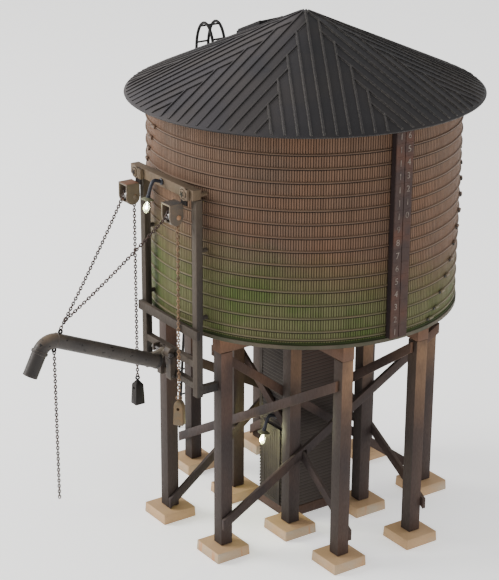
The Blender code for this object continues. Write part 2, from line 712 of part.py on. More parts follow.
def build_weights(bronze):
    y = SHEAVE_Y + SHEAVE_RADIUS + CHAIN_CLEAR + CHAIN_RADIUS
    black = material("weight_black", (0.04, 0.04, 0.04), 0.5, 0.5)
    copper = material("weight_copper", (0.35, 0.2, 0.12), 0.5, 0.4)
    left = ("left", SHEAVE_X[0], 78.9 * MM, 64.6 * MM, black)
    right = ("right", SHEAVE_X[1], 80.5 * MM, 67.5 * MM, copper)
    for side, x, top, base, look in (left, right):
        rod = tube([(x, y, SHEAVE_Z), (x, y, top + 2 * CHAIN_RADIUS)], CHAIN_RADIUS, 6)
        finish(rod, f"weight_chain_{side}", bronze)
        levels = (
            (1.9 * MM, 2.1 * MM, base),
            (1.9 * MM, 2.1 * MM, base + 0.5 * MM),
            (1.35 * MM, 1.5 * MM, top - 3.4 * MM),
            (0.8 * MM, 0.8 * MM, top - 1.8 * MM),
            (0.6 * MM, 0.6 * MM, top),
        )
        finish(tapered(x, y, levels), f"weight_{side}", look, False, (x, y, top))


def main():
    clear_scene()
    timber = build_posts()
    build_braces(timber)
    build_deck(timber)
    build_tank()
    build_ladder()
    build_frost_box(timber)
    glow = material("lamp_glow", (0.9, 0.8, 0.4), 0.4)
    build_lamp("beam_lamp", BEAM_LAMP, glow)
    build_lamp("door_lamp", DOOR_LAMP, glow)
    build_frame(timber)
    build_housing("left", SHEAVE_X[0], -19.0 * MM, 2.3 * MM, (-21.2 * MM, -16.8 * MM))
    build_housing("right", SHEAVE_X[1], 19.2 * MM, 3.1 * MM, (16.2 * MM, 20.8 * MM))
    build_spout()
    build_bracket()
    build_chains()


main()
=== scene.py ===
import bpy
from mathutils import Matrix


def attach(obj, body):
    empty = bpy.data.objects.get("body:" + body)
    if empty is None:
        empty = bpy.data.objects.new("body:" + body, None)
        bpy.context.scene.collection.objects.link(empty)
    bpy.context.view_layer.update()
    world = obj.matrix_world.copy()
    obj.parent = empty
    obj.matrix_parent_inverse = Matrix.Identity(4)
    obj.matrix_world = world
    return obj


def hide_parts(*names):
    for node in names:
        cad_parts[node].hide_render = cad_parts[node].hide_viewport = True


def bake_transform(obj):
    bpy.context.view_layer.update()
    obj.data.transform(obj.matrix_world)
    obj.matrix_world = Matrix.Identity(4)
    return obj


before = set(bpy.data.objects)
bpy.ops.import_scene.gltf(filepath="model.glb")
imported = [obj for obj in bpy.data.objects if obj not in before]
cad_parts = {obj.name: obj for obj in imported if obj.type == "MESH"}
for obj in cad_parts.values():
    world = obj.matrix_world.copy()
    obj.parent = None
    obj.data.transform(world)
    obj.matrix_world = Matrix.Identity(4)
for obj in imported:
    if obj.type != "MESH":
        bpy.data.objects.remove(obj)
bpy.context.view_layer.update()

import random
from math import atan2, cos, hypot, pi, radians, sin, sqrt, tan, tau

import bmesh
import bpy
from mathutils import Matrix, Vector

mm = 0.001
draw = random.Random(11)


def pick(values, names):
    return [values[name] for name in names.split()]


print("frame loaded:", len(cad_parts), "nodes")


# shapes: each returns (points, faces), in millimetres

def bands(rings, sides, loop=False):
    # the quads between neighbouring rings of points
    faces = []
    for i in range(rings if loop else rings - 1):
        after = (i + 1) % rings
        for k in range(sides):
            beside = (k + 1) % sides
            faces.append((i * sides + k, i * sides + beside, after * sides + beside, after * sides + k))
    return faces


def oval(sides, wide, deep, height=0.0):
    turns = [tau * k / sides for k in range(sides)]
    return [Vector((wide * cos(turn), deep * sin(turn), height)) for turn in turns]


def slab(x, y, z):
    points = [(a, b, c) for a in x for b in y for c in z]
    faces = [(0, 1, 3, 2), (4, 6, 7, 5), (0, 4, 5, 1), (2, 3, 7, 6), (0, 2, 6, 4), (1, 5, 7, 3)]
    return points, faces


def prism(outline, axis, low, high):
    points = []
    for depth in (low, high):
        for first, second in outline:
            point = [first, second]
            point.insert(axis, depth)
            points.append(tuple(point))
    count = len(outline)
    faces = [tuple(range(count)), tuple(range(2 * count - 1, count - 1, -1))]
    return points, faces + bands(2, count)


def turned(profile, sides, place=Matrix.Identity(4)):
    points = [place @ point for radius, height in profile for point in oval(sides, radius, radius, height)]
    return points, bands(len(profile), sides)


def tube(path, radius, sides=12, loop=False):
    path = [Vector(point) for point in path]
    count = len(path)
    points, side = [], None
    for i, point in enumerate(path):
        ahead = path[(i + 1) % count] if loop or i < count - 1 else point
        behind = path[i - 1] if loop or i else point
        along = (ahead - behind).normalized()
        if side is None:
            side = along.orthogonal()
        side = (side - along * side.dot(along)).normalized()
        other = along.cross(side)
        for k in range(sides):
            turn = tau * k / sides
            points.append(point + (side * cos(turn) + other * sin(turn)) * radius)
    faces = bands(count, sides, loop)
    if not loop:
        faces.append(tuple(range(sides)))
        faces.append(tuple(range(count * sides - 1, (count - 1) * sides - 1, -1)))
    return points, faces


def ring(centre, axis, big, small, around=28, sides=10):
    place = aimed(centre, axis)
    return tube([place @ point for point in oval(around, big, big)], small, sides, loop=True)


def aimed(centre, direction):
    return Matrix.Translation(centre) @ Vector(direction).to_track_quat("Z", "Y").to_matrix().to_4x4()


def moved(shape, place):
    points, faces = shape
    return [place @ Vector(point) for point in points], faces


def linked(name, data):
    obj = bpy.data.objects.new(name, data)
    bpy.context.scene.collection.objects.link(obj)
    return obj


def piece(name, shapes, look, body="tower", sharp=35, bevel=0.0, instead=()):
    # one mesh object from several shapes, riding on its body
    points, faces = [], []
    for more, sides in shapes:
        base = len(points)
        points += [tuple(value * mm for value in point) for point in more]
        faces += [tuple(base + corner for corner in side) for side in sides]
    mesh = bpy.data.meshes.new(name)
    mesh.from_pydata(points, [], faces)
    work = bmesh.new()
    work.from_mesh(mesh)
    bmesh.ops.remove_doubles(work, verts=work.verts, dist=1e-8)
    bmesh.ops.recalc_face_normals(work, faces=work.faces)
    work.to_mesh(mesh)
    work.free()
    mesh.materials.append(look)
    obj = linked(name, mesh)
    mesh.shade_smooth()
    if bevel:
        softenEdges(obj, bevel)
    else:
        mesh.set_sharp_from_angle(angle=radians(sharp))
    if body:
        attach(obj, body)
    if instead:
        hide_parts(*instead)
    return obj


def softenEdges(obj, width):
    step = obj.modifiers.new("soft edges", "BEVEL")
    step.width = width * mm
    step.segments = 2
    step.limit_method = "ANGLE"
    step.angle_limit = radians(30)
    step.harden_normals = True


def solidOf(obj):
    # the mesh of an object with its modifiers done
    bpy.context.view_layer.update()
    graph = bpy.context.evaluated_depsgraph_get()
    return bpy.data.meshes.new_from_object(obj.evaluated_get(graph))


# shader helpers: a value is a number, a vector or a node's output
# mixed takes colours too, in screen values 0-255

def put(socket, value):
    if isinstance(value, bpy.types.NodeSocket):
        socket.id_data.links.new(value, socket)
    else:
        socket.default_value = value


def addNode(tree, kind, values=None, **settings):
    made = tree.nodes.new(kind)
    for name, value in settings.items():
        setattr(made, name, value)
    for socket, value in (values or {}).items():
        put(made.inputs[socket], value)
    return made


def treeOf(*values):
    return next(value.id_data for value in values if isinstance(value, bpy.types.NodeSocket))


def colour(value):
    # screen values to the linear values that shaders use
    if not isinstance(value, tuple):
        return value
    parts = [part / 255 for part in value]
    return (*(part / 12.92 if part < 0.04045 else ((part + 0.055) / 1.055) ** 2.4 for part in parts), 1.0)


def mixed(mask, first, second, blend="MIX"):
    values = {0: mask, 6: colour(first), 7: colour(second)}
    return addNode(treeOf(mask, first, second), "ShaderNodeMix", values, data_type="RGBA",
                   blend_type=blend).outputs[2]


def maths(operation, first, second=0.0, clamp=False):
    tree = treeOf(first, second)
    return addNode(tree, "ShaderNodeMath", {0: first, 1: second}, operation=operation,
                   use_clamp=clamp).outputs[0]


def times(first, second, clamp=False):
    return maths("MULTIPLY", first, second, clamp)


def ranged(value, low, high, toLow=0.0, toHigh=1.0):
    names = {"Value": value, "From Min": low, "From Max": high, "To Min": toLow, "To Max": toHigh}
    return addNode(value.id_data, "ShaderNodeMapRange", names).outputs[0]


def splitUp(vector):
    return addNode(vector.id_data, "ShaderNodeSeparateXYZ", {0: vector}).outputs


def objectPlace(tree):
    return addNode(tree, "ShaderNodeTexCoord").outputs["Object"]


def normalPart(tree, axis):
    return splitUp(addNode(tree, "ShaderNodeNewGeometry").outputs["Normal"])[axis]


def remapped(place, **values):
    return addNode(place.id_data, "ShaderNodeMapping", {"Vector": place, **values}).outputs[0]


def noiseAt(place, scale, detail):
    values = {"Vector": place, "Scale": scale, "Detail": detail}
    return addNode(place.id_data, "ShaderNodeTexNoise", values).outputs[0]


def fineGrain(place, scale, stretch=(1.0, 1.0, 1.0)):
    return noiseAt(remapped(place, Scale=stretch), scale, 3.0)


def dimmed(base, shade):
    grey = addNode(shade.id_data, "ShaderNodeCombineColor", {0: shade, 1: shade, 2: shade}).outputs[0]
    return mixed(1.0, base, grey, "MULTIPLY")


def newGroup(name, **inputs):
    # a shared effect whose output is a mask; the input without a number is a place
    tree = bpy.data.node_groups.new(name, "ShaderNodeTree")
    for socketName, value in inputs.items():
        kind = "NodeSocketVector" if value is None else "NodeSocketFloat"
        socket = tree.interface.new_socket(socketName, in_out="INPUT", socket_type=kind)
        if value is not None:
            socket.default_value = value
    tree.interface.new_socket("Mask", in_out="OUTPUT", socket_type="NodeSocketFloat")
    return tree, tree.nodes.new("NodeGroupInput").outputs, tree.nodes.new("NodeGroupOutput").inputs["Mask"]


def groupMask(tree, group, **values):
    return addNode(tree, "ShaderNodeGroup", values, node_tree=group).outputs["Mask"]


def clouds(place, scale, low, high):
    return groupMask(place.id_data, patches, Vector=place, Scale=scale, Low=low, High=high)


def makeMottleGroup():
    # cloudy patches with a soft threshold
    tree, given, mask = newGroup("patches", Vector=None, Scale=60.0, Low=0.45, High=0.6)
    put(mask, ranged(noiseAt(given["Vector"], given["Scale"], 4.0), given["Low"], given["High"]))
    return tree


def makeEdgeWearAndHighlightGroup():
    # light scuffs where two faces meet; on the roof this mask carries a painted highlight along the ribs
    tree, given, mask = newGroup("edge scuffs and highlight", Width=0.0004, Breakup=900.0, Amount=1.0)
    rounded = addNode(tree, "ShaderNodeBevel", {"Radius": given["Width"]}, samples=4).outputs[0]
    plain = addNode(tree, "ShaderNodeNewGeometry").outputs["Normal"]
    turn = addNode(tree, "ShaderNodeVectorMath", {0: rounded, 1: plain}, operation="DOT_PRODUCT")
    edge = ranged(turn.outputs["Value"], 0.995, 0.85)
    broken = ranged(noiseAt(objectPlace(tree), given["Breakup"], 2.0), 0.35, 0.6, 0.25, 1.0)
    put(mask, times(times(edge, broken), given["Amount"], True))
    return tree


def makeDustGroup():
    # settled dust on faces that look up
    tree, given, mask = newGroup("settled dust", Scale=120.0, Amount=0.6)
    cloud = ranged(noiseAt(objectPlace(tree), given["Scale"], 4.0), 0.3, 0.7, 0.3, 1.0)
    put(mask, times(times(ranged(normalPart(tree, "Z"), 0.35, 0.95), cloud), given["Amount"], True))
    return tree


patches, edgeWearAndHighlight, settledDust = makeMottleGroup(), makeEdgeWearAndHighlightGroup(), makeDustGroup()


def startLook(name, roughness=0.6, metallic=0.0, specular=0.15):
    look = bpy.data.materials.new(name)
    look.use_nodes = True
    tree = look.node_tree
    shader = tree.nodes["Principled BSDF"]
    shader.inputs["Roughness"].default_value = roughness
    shader.inputs["Metallic"].default_value = metallic
    shader.inputs["Specular IOR Level"].default_value = specular
    return look, tree, shader, objectPlace(tree)


def finishLook(shader, base, grain, speckle, depth, rough=None, span=(0.3, 0.7), relief=None):
    # the grain tints the paint with the speckle's colour, varies its gloss and gives it relief
    tone, amount = speckle
    put(shader.inputs["Base Color"], mixed(ranged(grain, *span, 0.0, amount), base, tone))
    if rough:
        put(shader.inputs["Roughness"], ranged(grain, *span, *rough))
    values = {"Height": relief or grain, "Distance": depth, "Strength": 1.0}
    put(shader.inputs["Normal"], addNode(grain.id_data, "ShaderNodeBump", values).outputs[0])


def paintedLook(name, tones, roughness=0.6, metallic=0.0, specular=0.15, patchScale=45.0, wearAndHighlight=None,
                dust=None, grain=(1.0, 1.0, 1.0), grainDepth=0.00004):
    # moulded plastic or metal with clouded paint, settled dust and a light edge colour: scuffed wear on most
    # parts, a painted highlight on the roof's ribs dust is a colour and its amount, the edge colour a colour,
    # its amount and its width in metres
    look, tree, shader, place = startLook(name, roughness, metallic, specular)
    base = tones[0]
    for i, tone in enumerate(tones[1:]):
        shifted = remapped(place, Location=(0.13 * (i + 1), 0.07, 0.05))
        base = mixed(clouds(shifted, patchScale * (1 + 0.8 * i), 0.42, 0.62), base, tone)
    if dust:
        base = mixed(groupMask(tree, settledDust, Amount=dust[1]), base, dust[0])
    if wearAndHighlight:
        base = mixed(groupMask(tree, edgeWearAndHighlight, Amount=wearAndHighlight[1], Width=wearAndHighlight[2]), base, wearAndHighlight[0])
    gloss = (roughness - 0.06, roughness + 0.08)
    finishLook(shader, base, fineGrain(place, 2600.0, grain), ((0, 0, 0), 0.16), grainDepth, gloss)
    return look


# camera, light and floor

cameraPlace = {
    "at": (0.64898, -0.48612, 0.42161),
    "right": (0.53258253, 0.84625242, -0.01458385),
    "down": (0.30748582, -0.20950998, -0.92820151),
    "forward": (-0.78854823, 0.48985958, -0.37179197),
    "focalPixels": 1817.75,
    "centre": (152.80, 319.34),
    "picture": (499, 580),
}


def makeCamera():
    wide, tall = cameraPlace["picture"]
    lens = bpy.data.cameras.new("view")
    lens.sensor_width = 36.0
    lens.sensor_fit = "AUTO"
    lens.lens = cameraPlace["focalPixels"] / max(wide, tall) * 36.0
    lens.shift_x = (wide / 2 - cameraPlace["centre"][0]) / max(wide, tall)
    lens.shift_y = (cameraPlace["centre"][1] - tall / 2) / max(wide, tall)
    lens.clip_start, lens.clip_end = 0.05, 20.0
    camera = linked("view", lens)
    right, down, forward = (Vector(cameraPlace[key]) for key in ("right", "down", "forward"))
    turn = Matrix((right, -down, -forward)).transposed().to_4x4()
    camera.matrix_world = Matrix.Translation(cameraPlace["at"]) @ turn
    bpy.context.scene.camera = camera


def addAreaLight(name, at, towards, size, watts, tint):
    lamp = bpy.data.lights.new(name, "AREA")
    lamp.shape, lamp.size, lamp.energy, lamp.color = "DISK", size, watts, tint
    linked(name, lamp).matrix_world = aimed(at, Vector(at) - Vector(towards))


# each light: its place, the place it looks at, its size in metres, watts and tint
studio = {
    "skyTone": (1.0, 1.0, 1.0, 1.0), "skyStrength": 1.0, "floorLift": 0.55, "floorReach": 4000,
          "floorLow": -0.05,
    "key light": ((-0.9, -1.1, 0.8), (0, 0, 0.12), 0.9, 34.0, (1.0, 0.98, 0.95)),
    "side light": ((0.6, 1.25, 0.2), (0, 0, 0.1), 0.8, 9.0, (1.0, 0.96, 0.9)),
}


def makeStudio():
    world = bpy.data.worlds.new("studio")
    world.use_nodes = True
    back = world.node_tree.nodes["Background"]
    back.inputs["Color"].default_value = studio["skyTone"]
    back.inputs["Strength"].default_value = studio["skyStrength"]
    bpy.context.scene.world = world
    for name in ("key light", "side light"):
        addAreaLight(name, *studio[name])
    look, _, shader, place = startLook("pale floor", 0.9, 0.0, 0.1)
    pale = mixed(fineGrain(place, 8.0), (247, 247, 246), (250, 250, 250))
    put(shader.inputs["Base Color"], pale)
    put(shader.inputs["Emission Color"], pale)
    shader.inputs["Emission Strength"].default_value = studio["floorLift"]
    reach, low = studio["floorReach"], studio["floorLow"]
    corners = [(-reach, -reach, low), (reach, -reach, low), (reach, reach, low), (-reach, reach, low)]
    piece("floor", [(corners, [(0, 1, 2, 3)])], look, body=None)


makeCamera()
makeStudio()
print("camera and studio ready")

# chains

chainSize = {"pitch": 1.36, "halfLong": 0.9, "halfWide": 0.56, "wire": 0.27, "around": 14, "sides": 6,
             "faces": (0.79, -0.49, 0.37), "loose": 9}
sheaveSet = {"x": (-22.0, 14.1), "y": -81.2, "z": 168.4, "run": 2.95}
spoutX = 1.3
pullStart = (spoutX, -135.0, 111.9)
pullLength = 71.9


def walk(path, step):
    # evenly spaced places along a broken line, each with its direction
    path = [Vector(point) for point in path]
    places, left = [], 0.0
    for start, end in zip(path, path[1:]):
        span = (end - start).length
        along = (end - start) / span
        while left <= span:
            places.append((start + along * left, along))
            left += step
        left -= span
    return places


def chain(path, size=chainSize):
    # every second link is seen broadside from the front corner
    shapes = []
    link = tube(oval(size["around"], size["halfLong"], size["halfWide"]), size["wire"], size["sides"],
                loop=True)
    for i, (at, along) in enumerate(walk(path, size["pitch"])):
        side = along.cross(Vector(size["faces"])).normalized()
        roll = (i % 2) * pi / 2 + radians(draw.uniform(-size["loose"], size["loose"]))
        across = Matrix.Rotation(roll, 3, along) @ side
        turn = Matrix((along, across, along.cross(across))).transposed().to_4x4()
        shapes.append(moved(link, Matrix.Translation(at) @ turn))
    return shapes


def overSheave(x, fromTurn, toTurn, steps=8):
    y, z, run = pick(sheaveSet, "y z run")
    turns = [radians(fromTurn + (toTurn - fromTurn) * i / steps) for i in range(steps + 1)]
    return [(x, y + run * cos(turn), z + run * sin(turn)) for turn in turns]


def sagging(start, end, drop, steps=14):
    start, end = Vector(start), Vector(end)
    path = []
    for i in range(steps + 1):
        t = i / steps
        point = start.lerp(end, t)
        point.z -= 4 * drop * t * (1 - t)
        path.append(point)
    return path


bronze = paintedLook("chain bronze", [(56, 42, 38), (44, 34, 32), (70, 53, 47)], 0.5, 0.0, 0.2, 300.0)
copper = paintedLook("chain copper", [(112, 88, 68), (92, 74, 60), (132, 104, 78)], 0.5, 0.0, 0.2, 300.0)
darkMetal = paintedLook("dark metal", [(40, 38, 38), (52, 49, 47)], 0.42, 0.1, 0.3, 200.0,
                        wearAndHighlight=((116, 112, 106), 0.4, 0.0003))


def makePullChain():
    # the free chain at the mouth of the spout hangs straight down
    x, y, z = pullStart
    spans = 35
    route = [(x, y, z - pullLength / spans * i) for i in range(spans + 1)]
    links = piece("pullChain", chain(route), bronze, "pull_chain", instead=["pull_chain"])


def makeLiftChains():
    # two strands from the sheaves meet above the bend, and one short length ties them to its ring
    meet = (spoutX, -129.4, 125.6)
    shapes = []
    for x in sheaveSet["x"]:
        front = (x, sheaveSet["y"] - sheaveSet["run"], sheaveSet["z"])
        shapes += chain(overSheave(x, 20, 180)[:-1] + sagging(front, meet, 1.2))
    shapes += chain([(spoutX, -129.6, 125.2), (spoutX, -131.3, 122.6)])
    shapes.append(ring(meet, (0.3, 1, 0.2), 1.0, 0.24))
    strands = piece("liftChains", shapes, bronze, body=None, instead=["lift_chains"])
    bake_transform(strands)


# eyes: place, axis and the two radii; levels: half width, half depth and height, which is
# from the base for the first two and from the top for the others
weightSet = {
    "left": {"sheave": 0, "top": 78.9, "base": 64.6, "slot": "weight_dark", "turn": 0.0,
             "hole": -6.0, "eye": -1.2,
             "eyes": ((0, 0, (1, -0.35, 0), 0.8, 0.42),),
             "levels": ((2.3, 2.5, 0.0), (2.3, 2.5, 0.5), (1.95, 2.1, -4.4), (0.62, 0.7, -2.5))},
    "right": {"sheave": 1, "top": 80.5, "base": 67.5, "slot": "weight_copper", "turn": 33.0,
              "hole": -4.9, "eye": 0.3,
              "eyes": ((-0.3, -0.4, (1, -0.2, 0), 0.9, 0.28), (0.3, 0.4, (1, -1.6, 0), 0.8, 0.28)),
              "levels": ((2.3, 1.6, 0.0), (2.4, 1.7, 0.5), (2.1, 1.6, -3.6), (1.75, 1.5, -2.2),
                         (1.0, 1.2, -1.1))}}
lugPaint = paintedLook("lug iron", [(26, 24, 24), (34, 31, 30)], 0.5, 0.0, 0.05, 300.0)


def makeWeights():
    y = sheaveSet["y"] + sheaveSet["run"]
    black = paintedLook("black weight", [(44, 41, 40), (35, 33, 33)], 0.5, 0.0, 0.08, 150.0,
                        wearAndHighlight=((112, 112, 114), 0.4, 0.0003))
    tanPaint = paintedLook("tan weight", [(92, 80, 62), (100, 86, 66), (104, 84, 60)], 0.5, 0.0, 0.2, 200.0,
                           wearAndHighlight=((140, 112, 82), 0.6, 0.0004))
    for side, plan in weightSet.items():
        sheave, top, levels = pick(plan, "sheave top levels")
        x = sheaveSet["x"][sheave]
        look, linkLook, eyeLook = (black, bronze, lugPaint) if side == "left" else (tanPaint, copper, copper)
        drop = chain([(x, y, sheaveSet["z"] + 0.4), (x, y, top + plan["eye"] + 1.3)])
        links = piece(f"weightChain_{side}", drop, linkLook, body=None,
                      instead=[f"weight_chain_{side}"])
        body = f"weight_{side}"
        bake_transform(links)
        points = []
        for i, (wide, deep, z) in enumerate(levels):
            z += plan["base"] if i < 2 else top
            points += [(a * wide, b * deep, z) for a, b in ((-1, -1), (1, -1), (1, 1), (-1, 1))]
        last = len(points) - 4
        faces = bands(len(levels), 4) + [(3, 2, 1, 0), (last, last + 1, last + 2, last + 3)]
        place = Matrix.Translation((x, y, 0)) @ Matrix.Rotation(radians(plan["turn"]), 4, "Z")
        block = piece(f"weightBlock_{side}", [moved((points, faces), place)], look, body=None, bevel=0.14,
                      instead=[body])
        height = top + plan["hole"]
        drill = piece("drill", [moved(tube([(0, -5, height), (0, 5, height)], 0.78, 20), place)], look,
                      body=None)
        bite = block.modifiers.new("hole", "BOOLEAN")
        bite.operation, bite.solver, bite.object = "DIFFERENCE", "EXACT", drill
        bakeModifiers(block)
        bpy.data.objects.remove(drill, do_unlink=True)
        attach(block, body)
        middle = top + plan["eye"]
        eyes = [ring((x + a, y + b, middle), axis, big, small) for a, b, axis, big, small in plan["eyes"]]
        piece(f"weightEye_{side}", eyes, eyeLook, body)


def bakeModifiers(obj):
    solid = solidOf(obj)
    obj.modifiers.clear()
    obj.data = solid
    solid.shade_smooth()
    solid.set_sharp_from_angle(angle=radians(35))


makePullChain()
makeLiftChains()
makeWeights()
print("chains and weights ready")

# tank

tankSize = {"radius": 72.0, "inside": 70.2, "low": 113.7, "high": 213.0, "staves": 400, "groove": 0.36,
            "gap": 0.24}
hoopSet = {"first": 200.3, "pitch": 6.2, "count": 14, "lowest": 115.9, "half": 0.46, "proud": 0.62,
           "shade": 0.92}
# the angle of the highest lug and the turn from each hoop to the next
lugSet = {"left": (-102.5, -3.55), "right": (70.5, -3.85)}
mossSet = {"slope": 190.0, "ragged": 26.0, "staves": (138.0, 112.0), "hoops": (150.0, 124.0)}


def underHoops(height):
    # the narrow shaded line beneath each hoop
    pitch, half, first, lowest = pick(hoopSet, "pitch half first lowest")
    turn = maths("DIVIDE", maths("SUBTRACT", first, height), pitch)
    below = times(maths("FRACT", maths("ADD", turn, 0.5)), pitch)
    reach = pitch / 2 + half
    line = times(ranged(below, reach + 0.6, reach + 0.25), ranged(below, pitch / 2, pitch / 2 + 0.2))
    line = times(line, ranged(height, first + 1.6, first + 1.0))
    last = maths("SUBTRACT", lowest, height)
    single = times(ranged(last, half + 0.6, half + 0.25), ranged(last, 0.0, 0.2))
    return maths("MAXIMUM", line, single)


def makeStaveLook():
    look, tree, shader, place = startLook("staves", 0.62, 0.0, 0.1)
    at = splitUp(place)
    turn = times(maths("ARCTAN2", at["Y"], at["X"]), tankSize["staves"] / tau)
    index = maths("FLOOR", turn)
    board = addNode(tree, "ShaderNodeTexWhiteNoise", {"W": index}, noise_dimensions="1D").outputs["Value"]
    height = times(at["Z"], 1000.0)
    upper = mixed(clouds(place, 22.0, 0.42, 0.6), (108, 84, 68), (96, 79, 67))
    upper = mixed(times(clouds(place, 30.0, 0.52, 0.68), 0.5), upper, (112, 81, 61))
    lower = mixed(clouds(place, 48.0, 0.45, 0.62), (94, 94, 64), (76, 88, 47))
    streak = noiseAt(remapped(place, Scale=(1.0, 1.0, 0.12)), 60.0, 3.0)
    # the green climbs higher on the side of the spout
    line = maths("ADD", maths("SUBTRACT", height, times(streak, mossSet["ragged"])),
                 times(at["Y"], mossSet["slope"]))
    base = mixed(ranged(line, *mossSet["staves"]), upper, lower)
    base = dimmed(base, ranged(board, 0.0, 1.0, 0.86, 1.1))
    radius = maths("SQRT", maths("ADD", maths("POWER", at["X"], 2.0), maths("POWER", at["Y"], 2.0)))
    full, groove = tankSize["radius"], tankSize["groove"]
    deep = ranged(radius, (full - 0.04) * mm, (full - groove) * mm)
    side = maths("FRACT", turn)
    seam = maths("MAXIMUM", times(ranged(side, 0.42, 0.26), 0.6), times(deep, 0.92))
    base = mixed(seam, base, (30, 22, 16))
    base = mixed(times(underHoops(height), hoopSet["shade"]), base, (26, 19, 15))
    grain = fineGrain(place, 1500.0, (1.0, 1.0, 0.15))
    finishLook(shader, base, grain, ((50, 38, 30), 0.16), 0.00004, (0.55, 0.7))
    return look


def makeTank():
    staveLook = makeStaveLook()
    radius, inside, low, high = pick(tankSize, "radius inside low high")
    gap, valley = tankSize["gap"] / radius, radius - tankSize["groove"]
    step = tau / tankSize["staves"]
    turns = []
    for i in range(tankSize["staves"]):
        start = i * step
        turns += [(start, valley), (start + gap * 0.35, valley), (start + gap * 0.7, radius),
                  (start + step - gap * 0.3, radius)]
    points = []
    around = len(turns)
    for z in (low, high):
        points += [(r * cos(turn), r * sin(turn), z) for turn, r in turns]
    for z in (high, low + 1.8):
        points += [(inside * cos(turn), inside * sin(turn), z) for turn, r in turns]
    faces = bands(4, around)
    faces += [tuple(range(around - 1, -1, -1)), tuple(range(3 * around, 4 * around))]
    piece("tankStaves", [(points, faces)], staveLook, sharp=30, instead=["tank_shell"])

    shapes, bolts = [], []
    half, proud, radius = hoopSet["half"], hoopSet["proud"], tankSize["radius"] - 0.1
    heights = [hoopSet["first"] - hoopSet["pitch"] * k for k in range(hoopSet["count"])]
    heights.append(hoopSet["lowest"])
    bulge = [radians(angle) for angle in (-80, -50, -18, 18, 50, 80)]
    profile = [(radius, -half)] + [(radius + 0.1 + proud * cos(turn), half * sin(turn)) for turn in bulge]
    profile += [(radius, half), (radius, -half)]
    for k, z in enumerate(heights):
        shapes.append(turned(profile, 180, Matrix.Translation((0, 0, z))))
        for first, turn in lugSet.values():
            sleeve, *ends = lug(radians(first + turn * k), z)
            shapes.append(sleeve)
            bolts += ends
    piece("tankHoops", shapes, makeHoopLook())
    piece("hoopBolts", bolts, darkMetal)


def lug(turn, z):
    # where the two ends of a hoop are bolted together
    radius = tankSize["radius"] + 0.75
    lying = Matrix.Rotation(pi / 2, 4, "X")
    place = Matrix.Rotation(turn, 4, "Z") @ Matrix.Translation((radius, 0, z)) @ lying
    sleeve = turned([(0, -1.9), (0.62, -1.9), (0.78, -1.7), (0.78, 1.3), (0.62, 1.5), (0, 1.5)], 12, place)
    stem = turned([(0, 1.4), (0.34, 1.4), (0.34, 2.7), (0, 2.7)], 8, place)
    nut = turned([(0, 2.0), (0.62, 2.0), (0.62, 2.5), (0, 2.5)], 6, place)
    return [sleeve, stem, nut]


def makeHoopLook():
    look, tree, shader, place = startLook("hoops", 0.5, 0.0, 0.18)
    at = splitUp(place)
    line = maths("ADD", times(at["Z"], 1000.0), times(at["Y"], mossSet["slope"]))
    base = mixed(ranged(line, *mossSet["hoops"]), (96, 76, 62), (92, 88, 64))
    base = mixed(times(clouds(place, 70.0, 0.5, 0.7), 0.35), base, (116, 96, 76))
    # painted shade on the hoops' undersides
    base = mixed(times(ranged(normalPart(tree, "Z"), -0.1, -0.5), 0.8), base, (34, 26, 20))
    finishLook(shader, base, fineGrain(place, 1800.0), ((52, 42, 34), 0.2), 0.00003)
    return look


makeTank()
print("tank ready")

# roof

# the last entry is the direction in degrees of the slopes that are painted lighter
roofSize = {"radius": 82.2, "rimLow": 210.1, "rimHigh": 210.9, "apex": 246.6, "thick": 1.8, "sectors": 9,
            "firstCentre": -30.6, "before": 4, "after": 5, "pitch": 5.43, "wide": 0.52, "tall": 0.72,
            "stop": 81.2, "clear": 1.9, "paintedLightTurn": -118.0}
roofSlope = (roofSize["apex"] - roofSize["rimHigh"]) / roofSize["radius"]


def onRoof(x, y, lift=0.0):
    return (x, y, roofSize["apex"] - roofSlope * hypot(x, y) + lift)


def batten(centre, offset):
    # a rib laid parallel to its sector's middle line: before that line it starts at the hip,
    # after it at the side of the next sector's rib
    half = pi / roofSize["sectors"]
    along, across = Vector((cos(centre), sin(centre))), Vector((-sin(centre), cos(centre)))
    start = max(-offset / tan(half), roofSize["clear"])
    if offset > 0:
        start = (offset * (1 + cos(2 * half)) - roofSize["pitch"]) / sin(2 * half)
    end = sqrt(roofSize["stop"] ** 2 - offset ** 2)
    wide, tall = pick(roofSize, "wide tall")
    flank = [(-wide, -0.3), (-wide * 0.75, tall * 0.75), (-wide * 0.35, tall)]
    section = flank + [(-side, lift) for side, lift in reversed(flank)]
    points, steps = [], 9
    for i in range(steps + 1):
        reach = start + (end - start) * i / steps
        fade = 0.45 if i == steps else 1.0
        for side, lift in section:
            x, y = along * reach + across * (offset + side)
            points.append(onRoof(x, y, lift * fade if lift > 0 else lift))
    count = len(section)
    ends = [tuple(range(count)), tuple(range((steps + 1) * count - 1, steps * count - 1, -1))]
    return points, bands(steps + 1, count) + ends


def paintRoofLightAndShade(look):
    # painted light and shade: paler and duller on the left slopes, which face the light, with painted shadow
    # on their rib sides; painted darker on the others, with a painted highlight along the rib edges
    tree = look.node_tree
    target = tree.nodes["Principled BSDF"].inputs["Base Color"]
    base = target.links[0].from_socket
    at = splitUp(objectPlace(tree))
    turn = maths("ARCTAN2", at["Y"], at["X"])
    leftward = maths("COSINE", maths("SUBTRACT", turn, radians(roofSize["paintedLightTurn"])))
    # painted highlight on the rib edges: strong away from the left slopes, faint on them
    for node in tree.nodes:
        if node.type == "GROUP" and node.node_tree == edgeWearAndHighlight:
            put(node.inputs["Amount"], ranged(leftward, 0.6, 0.1, 0.12, 0.75))
    # painted light and shade: lighter on the slopes that face the light, darker on the others
    base = dimmed(base, ranged(leftward, 0.0, 0.9, 0.6, 1.85))
    # painted shadow on the rib sides of the left slopes
    sides = times(ranged(normalPart(tree, "Z"), 0.75, 0.5), ranged(leftward, 0.0, 0.5))
    put(target, mixed(times(sides, 0.85), base, (24, 22, 22)))


